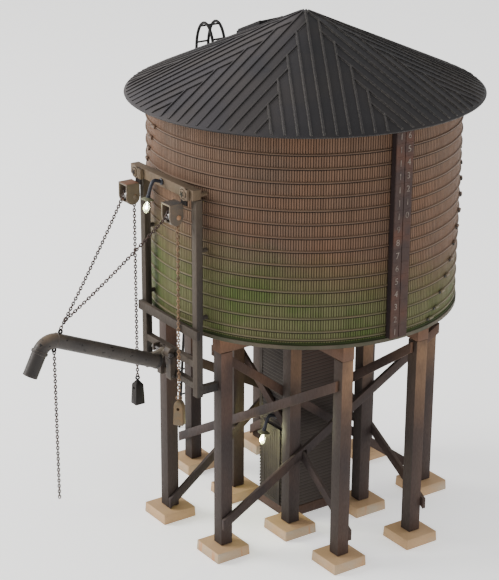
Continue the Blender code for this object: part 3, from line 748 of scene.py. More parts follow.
def makeRoof():
    # the light edge colour here is a painted highlight along the ribs and the rim
    slate = paintedLook("roof charcoal", [(50, 48, 50), (46, 45, 47), (53, 50, 50)], 0.52, 0.0, 0.14, 30.0,
                        wearAndHighlight=((150, 144, 136), 0.7, 0.0003), grainDepth=0.00002)
    radius, low, high, apex = pick(roofSize, "radius rimLow rimHigh apex")
    under = apex - roofSize["thick"]
    meet = (under - low) / roofSlope
    profile = [(0, under), (meet * 0.5, under - meet * 0.5 * roofSlope), (meet, low), (radius - 0.4, low),
               (radius - 0.08, low + 0.2), (radius, (low + high) / 2), (radius - 0.08, high - 0.2),
               (radius - 0.5, high + 0.15)]
    profile += [(radius * t, apex - roofSlope * radius * t) for t in (0.9, 0.7, 0.5, 0.3, 0.1, 0)]
    shapes = [turned(profile, 180)]
    for k in range(roofSize["sectors"]):
        centre = radians(roofSize["firstCentre"] + 360 / roofSize["sectors"] * k)
        for i in range(-roofSize["before"], roofSize["after"] + 1):
            shapes.append(batten(centre, i * roofSize["pitch"]))
    paintRoofLightAndShade(slate)
    piece("roofSheeting", shapes, slate, sharp=28, instead=["roof"])


makeRoof()
print("roof ready")

# roof hatch, gauge board and floor of the tank

hatchSet = {"centre": (-35.8, 0.8), "half": (7.8, 7.9), "lift": (0.75, 3.2), "turn": 8.0, "rib": 4.2,
            "rim": 0.9}
gaugeSet = {"x": (72.4, 75.6), "split": -2.3, "y": (-7.0, 2.2), "z": (114.0, 209.7), "first": 116.8,
            "pitch": 5.95, "figure": 4.2, "rows": 16, "joint": 0.015, "seam": 0.17}


def makeHatch():
    look = paintedLook("hatch grey", [(42, 41, 43), (36, 35, 37)], 0.5, 0.0, 0.1, 60.0,
                       wearAndHighlight=((112, 108, 104), 0.5, 0.0003))
    (halfX, halfY), (low, high), rib, rim = pick(hatchSet, "half lift rib rim")
    middle = roofSize["apex"] + roofSlope * hatchSet["centre"][0]
    turn = Matrix.Rotation(radians(hatchSet["turn"]), 4, "Z")
    place = Matrix.Translation((*hatchSet["centre"], 0)) @ turn

    def leaf(x, y, below, above):
        z = [middle + roofSlope * at for at in x]
        points = [(a, b, z[i] + c) for i, a in enumerate(x) for b in y for c in (below, above)]
        return moved((points, slab(x, y, (0, 1))[1]), place)

    shapes = [leaf((-halfX, halfX), (-halfY, halfY), low, high - 0.7),
              leaf((-halfX + 0.5, halfX - 0.5), (-halfY + 0.5, halfY - 0.5), high - 0.7, high - 0.25)]
    for x in (-rib, rib):
        shapes.append(leaf((x - 0.6, x + 0.6), (-halfY + 0.4, halfY - 0.4), high - 0.4, high))
    for y in (rim - halfY, halfY - rim):
        shapes.append(leaf((-halfX + 0.4, halfX - 0.4), (y - 0.5, y + 0.5), high - 0.4, high - 0.05))
    piece("hatchCover", shapes, look, bevel=0.12, instead=["roof_hatch"])


def makeGauge():
    board = paintedLook("gauge board", [(68, 53, 48), (80, 55, 46), (60, 49, 47)], 0.6, 0.0, 0.12, 60.0,
                        wearAndHighlight=((104, 82, 74), 0.4, 0.0002), grain=(1, 1, 0.2))
    (back, front), (left, right), (low, high), split = pick(gaugeSet, "x y z split")
    backing = paintedLook("gauge backing", [(44, 35, 34), (36, 30, 31)], 0.6, 0.0, 0.1, 60.0)
    piece("gaugeBacking", [slab((back, front - 0.5), (left, right), (low, high))], backing, bevel=0.1)
    shapes, marks = [], []
    pitch, joint, seam, rows = pick(gaugeSet, "pitch joint seam rows")
    for k in range(rows):
        z = gaugeSet["first"] + pitch * k
        bottom = max(z - pitch / 2 + joint, low)
        top = min(z + pitch / 2 - joint, high) if k < rows - 1 else high
        for y in ((left + 0.05, split - seam), (split + seam, right - 0.05)):
            shapes.append(slab((front - 0.7, front + 0.05), y, (bottom, top)))
        marks += zip((left + 2.4, split + 2.2), (z, z), str(k + 1))
    piece("gaugePlanks", shapes, board, bevel=0.1, instead=["gauge_board"])
    ink = paintedLook("gauge figures", [(122, 112, 104), (94, 84, 78)], 0.6, 0.0, 0.15, 420.0)
    work = bmesh.new()
    upright = Matrix.Rotation(pi / 2, 4, "Z") @ Matrix.Rotation(pi / 2, 4, "X")
    for y, z, figure in marks:
        curve = bpy.data.curves.new("figure", "FONT")
        curve.body, curve.size, curve.resolution_u = figure, gaugeSet["figure"] * mm, 3
        curve.extrude, curve.offset = 0.12 * mm, -0.02 * mm
        curve.align_x, curve.align_y = "CENTER", "CENTER"
        drawn = linked("figure", curve)
        drawn.matrix_world = Matrix.Translation(Vector((front + 0.06, y, z)) * mm) @ upright
        flat = solidOf(drawn)
        flat.transform(drawn.matrix_world)
        work.from_mesh(flat)
        bpy.data.meshes.remove(flat)
        bpy.data.objects.remove(drawn, do_unlink=True)
    mesh = bpy.data.meshes.new("gaugeFigures")
    work.to_mesh(mesh)
    work.free()
    mesh.materials.append(ink)
    figures = linked("gaugeFigures", mesh)
    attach(figures, "tower")


def dress(names, look, bevel=0.0):
    # a part whose shape already serves gets its finish and softer edges
    for name in names:
        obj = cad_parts[name]
        obj.data.materials.clear()
        obj.data.materials.append(look)
        if bevel:
            weld = obj.modifiers.new("weld", "WELD")
            weld.merge_threshold = 0.002 * mm
            softenEdges(obj, bevel)
            obj.data.shade_smooth()


makeHatch()
makeGauge()
lipLook = paintedLook("floor rim", [(72, 66, 52), (82, 71, 58), (58, 58, 41)], 0.65, 0.0, 0.3, 50.0)
dress(["tank_floor"], lipLook)
mossBand = paintedLook("moss band", [(42, 52, 22), (34, 42, 18)], 0.8, 0.0, 0.2, 60.0)
mossProfile = [(70.2, 113.35), (72.35, 113.35), (72.35, 114.4), (70.2, 114.4), (70.2, 113.35)]
piece("mossRing", [turned(mossProfile, 180)], mossBand)
print("hatch, gauge and floor ready")

# timber

timberTones = [(61, 53, 51), (75, 58, 50), (54, 47, 46)]


def makeTimberLook(name, tones, warm, warmFrom, warmTo, patchScale=24.0, dusty=0.25, front=None, ruddy=None):
    # smooth moulded timber, airbrushed warmer towards its upper end
    look, tree, shader, place = startLook(name, 0.62, 0.0, 0.12)
    base = tones[0]
    for i, tone in enumerate(tones[1:]):
        shifted = remapped(place, Location=(0.21 * (i + 1), 0.11, 0.03), Scale=(1.0, 1.0, 0.5))
        base = mixed(clouds(shifted, patchScale * (1 + 0.6 * i), 0.4, 0.64), base, tone)
    at = splitUp(place)
    fade = ranged(at["Z"], warmFrom * mm, warmTo * mm)
    fade = times(fade, ranged(normalPart(tree, "X"), 0.3, 0.8, 0.5, 1.15))
    if ruddy:
        warm = mixed(ranged(at["Y"], -0.045, -0.015), ruddy, warm)
    patchy = maths("ADD", times(clouds(place, 38.0, 0.38, 0.62), 0.6), 0.25)
    base = mixed(times(fade, patchy), base, warm)
    base = mixed(groupMask(tree, settledDust, Amount=dusty), base, (112, 100, 88))
    base = mixed(groupMask(tree, edgeWearAndHighlight, Amount=0.3, Width=0.0004), base, (112, 94, 82))
    # painted light: a lit-side tone on the faces towards −Y, which face the key light
    if front:
        tone, amount = front
        base = mixed(times(ranged(normalPart(tree, "Y"), -0.4, -0.8), amount), base, tone)
    grain = fineGrain(place, 1800.0, (1.0, 1.0, 0.25))
    finishLook(shader, base, grain, ((0, 0, 0), 0.2), 0.00004, (0.56, 0.7))
    return look


# the posts' front tone is painted light on the faces towards −Y
postLook = makeTimberLook("post timber", timberTones, (136, 106, 80), 58.0, 100.0, front=((60, 55, 52), 0.6),
                          ruddy=(104, 79, 67))
capLook = makeTimberLook("cap timber", [(90, 68, 56), (104, 76, 60), (74, 60, 54)], (128, 94, 70), 100.0,
                         112.0)
braceLook = makeTimberLook("brace timber", [(58, 51, 50), (74, 58, 50), (50, 44, 44)], (104, 77, 60), 55.0,
                           100.0)
posts, braces, footings = ([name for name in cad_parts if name.startswith(start)]
                           for start in ("post_", "brace_", "footing_"))
dress(posts, postLook, 0.18)
dress(braces, braceLook, 0.14)
dress(["cap_frame"], capLook, 0.18)


def makeConcreteLook():
    look, tree, shader, place = startLook("footing concrete", 0.75, 0.0, 0.2)
    base = mixed(clouds(place, 60.0, 0.4, 0.66), (174, 144, 110), (166, 136, 102))
    upright = ranged(normalPart(tree, "Z"), 0.6, 0.2)
    base = mixed(times(upright, clouds(place, 34.0, 0.46, 0.62)), base, (162, 149, 130))
    streak = clouds(remapped(place, Scale=(1.0, 1.0, 0.06)), 150.0, 0.63, 0.66)
    base = mixed(times(times(streak, upright), 0.6), base, (178, 118, 66))
    base = mixed(groupMask(tree, edgeWearAndHighlight, Amount=0.4, Width=0.0005), base, (194, 172, 142))
    grain = fineGrain(place, 1400.0)
    finishLook(shader, base, grain, ((128, 102, 72), 0.18), 0.00008, span=(0.35, 0.75))
    return look


dress(footings, makeConcreteLook(), 0.35)
print("timber and footings ready")

# frost box

boxSet = {"x": (-10.5, 13.4), "y": (-15.8, 15.8), "low": 5.3, "high": 111.4, "pitch": 1.72, "lap": 0.62,
          "doorX": (-5.8, 8.1), "doorTop": 46.0, "doorFront": -17.0, "bar": 1.4, "board": 1.58, "strip": 2.0}


def shadeLaps(look, low, pitch):
    # painted shadow on each board where it tucks under the next, a painted highlight along its lower edge,
    # and painted light on the faces towards +X
    tree = look.node_tree
    target = tree.nodes["Principled BSDF"].inputs["Base Color"]
    base = target.links[0].from_socket
    height = splitUp(objectPlace(tree))["Z"]
    step = maths("FRACT", maths("DIVIDE", maths("SUBTRACT", height, low * mm), pitch * mm))
    # painted light on the faces towards +X, warmer higher up
    rightWallLight = mixed(ranged(height, 0.05, 0.09), (78, 71, 67), (92, 73, 65))
    base = mixed(ranged(normalPart(tree, "X"), 0.5, 0.9, 0.0, 0.6), base, rightWallLight)
    # painted shadow where each board tucks under the next, painted highlight along its lower edge
    base = mixed(times(ranged(step, 0.62, 0.84), 0.6), base, (20, 18, 17))
    put(target, mixed(times(ranged(step, 0.3, 0.1), 0.6), base, (78, 72, 68)))


def makeFrostBox():
    look = paintedLook("clapboard", [(56, 52, 50), (50, 46, 45), (62, 57, 53)], 0.6, 0.0, 0.08, 40.0,
                       wearAndHighlight=((88, 82, 76), 0.45, 0.0003), grain=(0.2, 0.2, 1))
    (x0, x1), (y0, y1) = pick(boxSet, "x y")
    low, high, lap, bar = pick(boxSet, "low high lap bar")
    shapes = [slab((x0 + 0.5, x1 - 0.5), (y0 + 0.5, y1 - 0.5), (low, high))]
    count = int((high - low) / boxSet["pitch"])
    pitch = (high - low) / count
    shadeLaps(look, low, pitch)
    for i in range(count):
        z = low + pitch * i
        shift = draw.uniform(-0.04, 0.04)
        points = []
        for inset, height in ((shift + 0.05, z), (shift + 0.05, z + 0.25), (lap, z + pitch - 0.02)):
            left, right, front, back = x0 + inset, x1 - inset, y0 + inset, y1 - inset
            corners = ((left, front), (right, front), (right, back), (left, back))
            points += [(x, y, height) for x, y in corners]
        shapes.append((points, [(3, 2, 1, 0), (8, 9, 10, 11)] + bands(3, 4)))
    piece("clapboards", shapes, look, sharp=20, instead=["frost_box"])
    strip = slab((x0 - 0.05, x0 + boxSet["strip"]), (y0 - 0.12, y0 + 0.4), (boxSet["doorTop"], high))
    trim = paintedLook("corner strip", [(68, 63, 60), (58, 53, 50)], 0.6, 0.0, 0.1, 40.0,
                       wearAndHighlight=((100, 92, 84), 0.6, 0.0004))
    piece("cornerStrip", [strip], trim, bevel=0.1)

    doorLook = paintedLook("door boards", [(60, 56, 53), (53, 49, 47), (66, 61, 56)], 0.6, 0.0, 0.1, 40.0,
                           wearAndHighlight=((108, 100, 94), 0.5, 0.0003))
    front, top, (left, right) = pick(boxSet, "doorFront doorTop doorX")
    shapes = [slab((left, right), (front + 0.45, -16.1), (low, top))]
    board = left + bar
    while board < right - 1.5:
        shapes.append(slab((board + 0.08, board + 1.46), (front + 0.2, front + 0.6), (low + 2.1, top - 1.6)))
        board += boxSet["board"]
    for x in ((left, left + bar), (right - bar, right)):
        shapes.append(slab(x, (front, front + 0.7), (low, top)))
    for z in ((low, low + 2.1), (top - 1.6, top)):
        shapes.append(slab((left + 1.3, right - 1.3), (front + 0.05, front + 0.7), z))
    for i in range(int((top - low) / pitch)):
        start = low + pitch * i
        shapes.append(slab((right, right + 0.9), (front + 0.6, -15.9), (start + 0.45, start + pitch)))
    piece("doorBoards", shapes, doorLook, bevel=0.08, instead=["frost_box_door"])
    sill = makeTimberLook("sill timber", [(80, 64, 57), (68, 57, 53)], (98, 77, 64), 0.0, 8.0)
    dress(["frost_box_base"], sill, 0.18)


makeFrostBox()
print("frost box ready")

# spout frame

# the last value is a painted light tone on the faces towards −Y
frameTimber = makeTimberLook("frame timber", [(60, 55, 52), (67, 61, 55), (51, 48, 47)], (80, 70, 59), 90.0,
                             185.0, 40.0, 0.4, ((82, 73, 63), 0.5))
beamTimber = makeTimberLook("beam timber", [(88, 76, 64), (76, 68, 59), (100, 85, 69)], (104, 88, 70), 150.0,
                            182.0, 50.0, 0.3)
dress(["spout_frame"], frameTimber, 0.16)
# the last value is a painted light tone on the faces towards −Y
lowerTimber = makeTimberLook("lower beam timber", [(52, 47, 44), (58, 52, 47), (45, 41, 40)], (70, 61, 51),
                             90.0, 185.0, 40.0, 0.4, ((70, 62, 53), 0.5))
dress(["frame_lower_beam"], lowerTimber, 0.2)
dress(["frame_top_beam"], beamTimber, 0.25)
print("spout frame ready")

# sheave housings, bosses and sheaves

housingSet = {"half": 3.6, "wall": 0.85, "front": -84.3, "back": -77.25, "top": 174.6, "middle": 168.4,
              "drop": 3.8, "slot": 0.9}
bossSet = {"left": (-20.4, 2.9), "right": (19.2, 3.1), "y": -78.0, "z": 179.4}  # x and radius
hangerSet = {"left": (-21.2, -16.8), "right": (16.2, 20.8), "y": -77.22, "plateTop": 181.4,
             "ribs": (176.9, 181.75)}


def makeHousing(side, x, look, bossLook, rivetLook):
    half, wall, front, back = pick(housingSet, "half wall front back")
    top, level, drop, slot = pick(housingSet, "top middle drop slot")
    centre, reach = (front + back) / 2, (back - front) / 2

    def belly(inset, steps=16):
        turns = [pi * (1 + i / steps) for i in range(steps + 1)]
        return [(centre + (reach - inset) * cos(turn), level + (drop - inset) * sin(turn)) for turn in turns]

    outer, inner = belly(0.0), belly(wall)
    outline = [(front, top)] + outer + [(back, top)]
    walls = ((x - half, x - half + wall), (x + half - wall, x + half))
    shapes = [prism(outline, 0, low, high) for low, high in walls]
    span = (x - half + 0.2, x + half - 0.2)
    shapes.append(slab(span, (front, back), (top - wall, top)))
    shapes.append(slab(span, (back - wall, back), (level, top - 0.1)))
    for low, high in ((span[0], x - slot), (x + slot, span[1])):
        shapes.append(prism(outer[3:] + inner[:2:-1], 0, low, high))
    piece(f"housingShell_{side}", shapes, look, bevel=0.22, instead=[f"housing_{side}"])

    pin = [turned([(0, -0.1), (1.15, -0.1), (1.15, 0.15), (0.85, 0.5), (0.4, 0.62), (0, 0.65)], 24,
                  aimed((x + half * way, -79.8, level), (way, 0, 0))) for way in (-1, 1)]
    ends = (x - half + 0.3, x + half - 0.3)
    pin.append(tube([(end, sheaveSet["y"], level) for end in ends], 0.55, 16))
    piece(f"housingPins_{side}", pin, rivetLook)

    low, high = hangerSet[side]
    bossX, r = bossSet[side]
    back, plateTop, ribSpan = pick(hangerSet, "y plateTop ribs")
    # the plate behind the housing gets the painted shadow colour
    plate = slab((low, high), (-77.9, back), (top - 0.5, plateTop))
    piece(f"hangerPlate_{side}", [plate], paintedRecessShadow)
    rib = high - 0.1 if side == "left" else high + 0.2
    ribs = [slab((start, start + 0.8), (-78.7, back), ribSpan) for start in (rib - 0.9, rib + 0.5)]
    piece(f"hanger_{side}", ribs, bossLook, bevel=0.12)
    place = aimed((bossX, bossSet["y"], bossSet["z"]), (0, -1, 0))
    rings = [(0, 0), (r, 0), (r, 0.45), (r - 0.25, 0.7), (r * 0.8, 0.7), (r * 0.76, 0.55), (r * 0.68, 0.55),
             (r * 0.62, 1.0), (r * 0.5, 1.12), (r * 0.46, 0.95), (r * 0.4, 0.95), (r * 0.36, 1.3),
             (r * 0.2, 1.38), (0, 1.38)]
    points = [(r * (0.5 if k % 2 else 0.24), pi * k / 5 + 0.3) for k in range(10)]
    star = [(size * cos(turn), size * sin(turn)) for size, turn in points]
    piece(f"boss_{side}", [turned(rings, 40, place)], bossLook)
    # the star hole and the groove ring get the painted shadow colour
    groove = turned([(r * 0.64, 0.4), (r * 0.64, 0.62), (r * 0.78, 0.62), (r * 0.78, 0.4), (r * 0.64, 0.4)],
                    40, place)
    piece(f"bossHole_{side}", [moved(prism(star, 2, 1.3, 1.43), place), groove], paintedRecessShadow)

    groove = [(0.9, -1.6), (2.2, -1.6), (2.2, -1.25), (1.65, -0.45), (1.65, 0.45), (2.2, 1.25), (2.2, 1.6),
              (0.9, 1.6), (0.9, -1.6)]
    axis = aimed((x, sheaveSet["y"], level), (1, 0, 0))
    wheel = [turned(groove, 40, axis)]
    for point in oval(5, 1.25, 1.25):
        at, reach = axis @ point, Vector((1.72, 0, 0))
        wheel.append(tube([at - reach, at + reach], 0.2, 8))
    piece(f"sheaveWheel_{side}", wheel, sheaveSteel, f"sheave_{side}",
          instead=[f"sheave_{side}"])


sheaveSteel = paintedLook("sheave steel", [(150, 148, 146), (118, 116, 115)], 0.3, 0.5, 0.4, 200.0)
# painted shadow colour for the hanger plates and the bosses' holes and grooves
paintedRecessShadow = paintedLook("hanger recess", [(30, 26, 25), (24, 21, 20)], 0.6, 0.0, 0.1, 120.0)
rustyLook = paintedLook("rusty housing", [(90, 80, 70), (82, 73, 65), (96, 84, 72)], 0.5, 0.0, 0.2, 110.0,
                        wearAndHighlight=((150, 138, 116), 0.7, 0.0003), dust=((124, 80, 54), 0.95))
greyLook = paintedLook("grey housing", [(92, 82, 71), (84, 76, 69), (102, 87, 71)], 0.5, 0.0, 0.2, 110.0,
                       wearAndHighlight=((168, 150, 126), 0.7, 0.0003), dust=((66, 66, 68), 0.95))
bossPaint = paintedLook("boss paint", [(104, 88, 72), (90, 77, 64)], 0.45, 0.0, 0.15, 200.0,
                        wearAndHighlight=((158, 144, 122), 0.55, 0.00025))
tanRivet = paintedLook("tan rivet", [(150, 114, 84), (136, 102, 76)], 0.5, 0.0, 0.2, 300.0,
                       wearAndHighlight=((168, 134, 102), 0.6, 0.0004))
makeHousing("left", sheaveSet["x"][0], rustyLook, bossPaint, rustyLook)
makeHousing("right", sheaveSet["x"][1], greyLook, bossPaint, tanRivet)
print("housings ready")

# lamps

lampSet = {"bends": ((0, 0), (1.4, 0.55), (3.1, 1.1), (4.2, 0.8), (5.0, -0.2), (5.9, -2.6), (7.0, -6.4)),
           "places": {"beam": (-0.5, -77.2, 179.66), "door": (3.5, -16.1, 51.6)},
           "watts": {"beam": 0.005, "door": 0.026}, "glow": (0.95, 1.0, 0.5), "arm": 0.8, "lean": 11.0}


def smoothPath(points, steps=6):
    points = [Vector(point) for point in points]
    ends = [points[0] * 2 - points[1]] + points + [points[-1] * 2 - points[-2]]
    path = []
    for a, b, c, d in zip(ends, ends[1:], ends[2:], ends[3:]):
        for k in range(steps):
            t = k / steps
            path.append(0.5 * (2 * b + (c - a) * t + (2 * a - 5 * b + 4 * c - d) * t * t
                               + (3 * b - a - 3 * c + d) * t ** 3))
    return path + [points[-1]]


def makeLamp(name, armLook, shadeLook, glassLook, coreLook):
    x, y, z = lampSet["places"][name]
    path = smoothPath([(x, y - out, z + up) for out, up in lampSet["bends"]])
    place = Matrix.Translation(path[-1]) @ Matrix.Rotation(-radians(lampSet["lean"]), 4, "X")
    base = turned([(0, -0.1), (1.5, -0.1), (1.5, 0.25), (1.1, 0.5), (0, 0.5)], 24,
                  aimed((x, y, z), (0, -1, 0)))
    socket = turned([(0, 1.6), (0.95, 1.5), (1.0, 0.2), (0.8, 0.1), (0, 0.1)], 24, place)
    piece(f"{name}LampArm", [tube(path, lampSet["arm"], 16), base, socket], armLook,
          instead=[f"{name}_lamp"])
    parts = (
        ("Shade", shadeLook, 40, [(0, 0.42), (0.9, 0.38), (1.9, 0.05), (2.9, -0.5), (3.0, -0.66),
                                  (2.86, -0.72), (1.9, -0.25), (1.0, -0.05), (0, 0)]),
        ("Socket", armLook, 20, [(0, -0.05), (0.85, -0.05), (0.85, -1.5), (0.7, -1.6), (0, -1.6)]),
        ("Glass", glassLook, 32, [(0, -1.5), (0.75, -1.55), (0.85, -2.1), (1.3, -3.1), (1.52, -4.1),
                                  (1.42, -5.1), (1.0, -6.1), (0.5, -6.65), (0, -6.8)]),
        ("Core", coreLook, 20, [(0, -1.7), (0.14, -1.8), (0.22, -3.2), (0.55, -3.8), (0.6, -4.3), (0.4, -4.8),
                                (0, -5.0)]),
    )
    for part, look, sides, profile in parts:
        piece(f"{name}Lamp{part}", [turned(profile, sides, place)], look)
    light = bpy.data.lights.new(f"{name} glow", "POINT")
    light.energy, light.color, light.shadow_soft_size = lampSet["watts"][name], lampSet["glow"], 1.2 * mm
    linked(f"{name} glow", light).location = (place @ Vector((0, -2.2, -4.4))) * mm


def makeGlow(name, tone, strength, alpha):
    look, _, shader, place = startLook(name, 0.15, 0.0, 0.5)
    shade = mixed(ranged(fineGrain(place, 600.0), 0.35, 0.65), tone, (255, 255, 250))
    put(shader.inputs["Base Color"], shade)
    put(shader.inputs["Emission Color"], shade)
    shader.inputs["Emission Strength"].default_value = strength
    shader.inputs["Alpha"].default_value = alpha
    return look


armPaint = paintedLook("lamp arm", [(48, 50, 58), (58, 59, 64)], 0.4, 0.1, 0.25, 120.0,
                       wearAndHighlight=((104, 104, 110), 0.35, 0.0004))
shadePaint = paintedLook("lamp shade", [(120, 120, 92), (96, 97, 82)], 0.45, 0.0, 0.4, 200.0,
                         wearAndHighlight=((176, 176, 140), 0.6, 0.0004))
glassGlow = makeGlow("bulb glass", (236, 244, 206), 0.3, 0.2)
coreGlow = makeGlow("bulb core", (255, 255, 232), 30.0, 1.0)
for lampName in ("beam", "door"):
    makeLamp(lampName, armPaint, shadePaint, glassGlow, coreGlow)
print("lamps ready")

# spout

spoutSet = {"start": (-81.5, 95.1), "bend": (-133.0, 117.2), "radius": 3.38, "bore": 2.5, "elbow": 7.2,
            "turn": 85.8, "nozzle": 11.5, "pin": (-78.2, 99.3), "lug": (-131.5, 121.2),
            "eye": (-135.0, 113.4)}


def spoutLine(steps=24):
    start, bend = Vector(spoutSet["start"]), Vector(spoutSet["bend"])
    along = (bend - start).normalized()
    centre = bend + Vector((-along.y, along.x)) * spoutSet["elbow"]
    first = atan2(bend.y - centre.y, bend.x - centre.x)
    points = [start.lerp(bend, k / 16) for k in range(17)]
    for i in range(1, steps + 1):
        angle = first + radians(spoutSet["turn"]) * i / steps
        points.append(centre + spoutSet["elbow"] * Vector((cos(angle), sin(angle))))
    out = Vector((cos(angle + pi / 2), sin(angle + pi / 2)))
    points += [points[-1] + out * spoutSet["nozzle"] * k / 4 for k in (1, 2, 3, 4)]
    return [Vector((spoutX, point.x, point.y)) for point in points], along, out


def pipe(path, outer, inner, openFrom, sides=44):
    # a wall between two radii; the inside starts at openFrom so that the hinge end stays shut
    outside, faces = tube(path, outer, sides)
    inside = tube(path[openFrom:], inner, sides)[0]
    base, deep = len(outside), len(path) - openFrom
    faces = faces[:-1] + [tuple(base + corner for corner in face) for face in bands(deep, sides)]
    near, far = base - sides, base + (deep - 1) * sides
    for k in range(sides):
        beside = (k + 1) % sides
        faces.append((near + k, near + beside, far + beside, far + k))
    faces.append(tuple(base + k for k in range(sides)))
    return outside + inside, faces


def makeSpoutLook():
    look, tree, shader, place = startLook("spout paint", 0.42, 0.0, 0.22)
    base = mixed(clouds(place, 90.0, 0.4, 0.62), (68, 63, 59), (58, 54, 52))
    base = mixed(groupMask(tree, settledDust, Amount=0.3, Scale=70.0), base, (92, 82, 72))
    reach = splitUp(place)["Y"]
    bend = times(ranged(reach, -0.128, -0.138), groupMask(tree, settledDust, Amount=0.85, Scale=50.0))
    base = mixed(bend, base, (118, 100, 80))
    base = mixed(ranged(reach, -0.139, -0.144, 0.0, 0.75), base, (38, 35, 34))
    stretched = remapped(place, Rotation=(radians(23), 0, 0), Scale=(1.0, 0.6, 1.0))
    chips = clouds(stretched, 620.0, 0.635, 0.655)
    base = mixed(chips, base, (24, 22, 22))
    base = mixed(groupMask(tree, edgeWearAndHighlight, Amount=0.5, Width=0.0004), base, (112, 102, 92))
    grain = fineGrain(place, 1500.0)
    relief = maths("SUBTRACT", grain, chips)
    finishLook(shader, base, grain, ((34, 31, 30), 0.25), 0.00005, (0.36, 0.55), relief=relief)
    return look


def makeSpout():
    look = makeSpoutLook()
    path, along, out = spoutLine()
    bendStart, bendEnd = path[16], path[-5]
    ahead = Vector((0, along.x, along.y))
    down = Vector((0, out.x, out.y))
    radius = spoutSet["radius"]
    shapes = [pipe(path, radius, spoutSet["bore"], 2)]
    # bands round the bend's end, its start and the mouth: how proud and how far along
    collars = (
        (((-0.3, -0.75), (0.4, -0.6), (0.52, 0), (0.4, 0.6), (-0.3, 0.75)), bendEnd, down),
        (((-0.3, -0.3), (0.16, -0.2), (0.16, 0.2), (-0.3, 0.3)), bendStart + ahead * 1.4, ahead),
        (((-0.4, -0.5), (0.04, -0.4), (0.04, 0.1), (-0.4, 0.2)), path[-1] - down * 0.2, down),
    )
    for profile, at, way in collars:
        shapes.append(turned([(radius + proud, reach) for proud, reach in profile], 44, aimed(at, way)))
    piece("spoutPipe", shapes, look, "spout", instead=["spout"])

    hinge = aimed(path[0], ahead)
    disc = [(0, -0.2), (radius + 0.1, -0.2), (radius + 0.25, 0.0), (radius + 0.25, 1.2), (radius - 0.2, 1.3),
            (0, 1.3)]
    flange = [turned(disc, 44, hinge)]
    for k in range(8):
        turn = tau * k / 8 + 0.2
        at = hinge @ Vector((2.6 * cos(turn), 2.6 * sin(turn), -0.15))
        flange.append(turned([(0, -0.35), (0.42, -0.35), (0.42, 0.2), (0, 0.2)], 6, aimed(at, ahead)))
    lugs = [ring((spoutX, *spoutSet[end]), (1, 0.25, 0), 0.9, 0.48) for end in ("lug", "eye")]
    piece("spoutLugs", lugs, lugPaint, "spout")
    piece("spoutIrons", flange, darkMetal, "spout")

    pinY, pinZ = spoutSet["pin"]
    yoke = [turned([(0, -2.0), (1.5, -2.0), (1.62, -1.8), (1.62, 1.5), (1.5, 1.7), (0, 1.7)], 32,
                   aimed((spoutX - 0.1, pinY, pinZ), (1, 0, 0)))]
    tail = [(-84.9, 100.0), (-84.2, 98.0), (-80.1, 95.7), (pinY + 1.0, pinZ - 1.1), (pinY + 0.5, pinZ + 1.4),
            (pinY - 0.8, pinZ + 1.55)]
    yoke.append(prism(tail, 0, spoutX - 1.0, spoutX + 0.9))
    lightIron = paintedLook("hinge iron", [(98, 90, 80), (84, 77, 70), (112, 102, 88)], 0.42, 0.1, 0.3,
                            240.0, wearAndHighlight=((176, 168, 154), 0.7, 0.0004), dust=((124, 114, 102), 0.5))
    piece("spoutYoke", yoke, lightIron, "spout", bevel=0.1)


bracketSet = {"back": -75.6, "foot": 86.8, "front": -78.2, "right": (3.0, 7.0), "left": (-4.6, -1.4),
              "cheek": (-6.6, -5.4), "plates": ((97.4, 100.6), (87.0, 90.0)), "plate": 0.7,
              "rod": (-7.3, 7.4), "bolts": ((-76.9, 99.0), (-76.9, 88.5))}


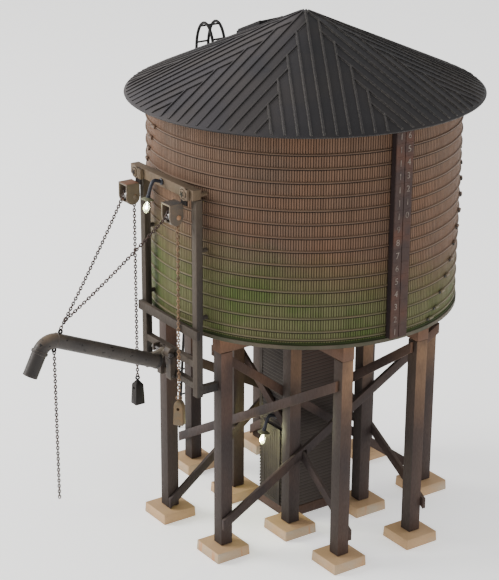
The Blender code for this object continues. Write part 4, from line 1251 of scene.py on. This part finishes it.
def makeBracket():
    look = paintedLook("bracket paint", [(66, 59, 53), (56, 50, 47), (76, 67, 58)], 0.5, 0.0, 0.15, 160.0,
                       wearAndHighlight=((122, 110, 96), 0.5, 0.0003), dust=((82, 74, 66), 0.5))
    back, foot, front, plate = pick(bracketSet, "back foot front plate")
    right = [(back, foot), (back, 101.6), (-76.4, 102.4), (-78.1, 102.4), (-79.1, 101.4), (-79.6, 99.6),
             (-79.3, 98.2), (front, 96.8), (front, foot)]
    left = [(back, foot), (back, 96.9), (front, 96.9), (front, foot)]
    cheek = [(back, 97.6), (back, 101.0), (-79.4, 101.0), (-79.4, 97.6)]
    arms = (("right", right), ("left", left), ("cheek", cheek))
    shapes = [prism(outline, 0, *bracketSet[name]) for name, outline in arms]
    for z in bracketSet["plates"]:
        shapes.append(slab((bracketSet["cheek"][0], bracketSet["right"][1]), (back - plate, back), z))
    shapes.append(slab((-4.0, -3.0), (back - plate, back), (foot, 101.0)))
    piece("bracketArms", shapes, look, bevel=0.22, instead=["spout_bracket"])
    pinY, pinZ = spoutSet["pin"]
    steel = paintedLook("pin steel", [(62, 57, 56), (50, 46, 46)], 0.35, 0.1, 0.35, 300.0,
                        wearAndHighlight=((150, 142, 134), 0.5, 0.0004))
    rod = [tube([(x, pinY, pinZ) for x in bracketSet["rod"]], 0.8, 20)]
    rod.append(turned([(0, -0.2), (1.25, -0.2), (1.25, 0.2), (0.9, 0.55), (0, 0.65)], 28,
                      aimed((7.2, pinY, pinZ), (1, 0, 0))))
    rod.append(turned([(0, -0.2), (1.15, -0.2), (1.15, 0.3), (0, 0.4)], 6,
                      aimed((-7.0, pinY, pinZ), (-1, 0, 0))))
    for y, z in bracketSet["bolts"]:
        rod.append(turned([(0, -0.1), (0.55, -0.1), (0.45, 0.3), (0, 0.35)], 16,
                          aimed((7.0, y, z), (1, 0, 0))))
    piece("hingePin", rod, steel)


makeSpout()
makeBracket()
print("spout and bracket ready")

# ladder

ladderLook = paintedLook("ladder iron", [(28, 27, 27), (36, 34, 34)], 0.5, 0.0, 0.1, 60.0,
                         wearAndHighlight=((72, 69, 67), 0.2, 0.0004))
ladderSet = {"y": (-2.5, 4.4), "rail": 0.72, "rung": 0.5, "foot": -103.85, "top": (-84.9, 213.0),
             "arch": (-77.4, 13.9), "archTall": 14.0, "steps": 16, "last": (-69.9, 217.35), "first": 5.0,
             "pitch": 7.6, "count": 28, "archRungs": ((-1, 2.9), (-1, 11.5), (1, 6.7), (1, 13.2))}


def makeLadder():
    foot, (topX, topZ), (archX, archRise), tall, steps = pick(ladderSet, "foot top arch archTall steps")
    reach = archX - topX
    spaced = [ladderSet["first"] + ladderSet["pitch"] * i for i in range(ladderSet["count"])]
    rungs = [(foot + (topX - foot) * z / topZ, z) for z in spaced]
    for side, rise in ladderSet["archRungs"]:
        rungs.append((archX + side * reach * sqrt(1 - (rise / tall) ** 2), topZ + rise))
    shapes = []
    turns = [pi * (1 - i / steps) for i in range(1, steps)]
    line = [(foot, 0.0), (foot, 0.6), (topX, topZ)]
    line += [(archX + reach * cos(turn), topZ + archRise * sin(turn)) for turn in turns]
    line.append(ladderSet["last"])
    for y in ladderSet["y"]:
        shapes.append(tube([(x, y, z) for x, z in line], ladderSet["rail"], 10))
    for x, z in rungs:
        shapes.append(tube([(x, y, z) for y in ladderSet["y"]], ladderSet["rung"], 8))
    piece("ladderIron", shapes, ladderLook, instead=["ladder"])


makeLadder()
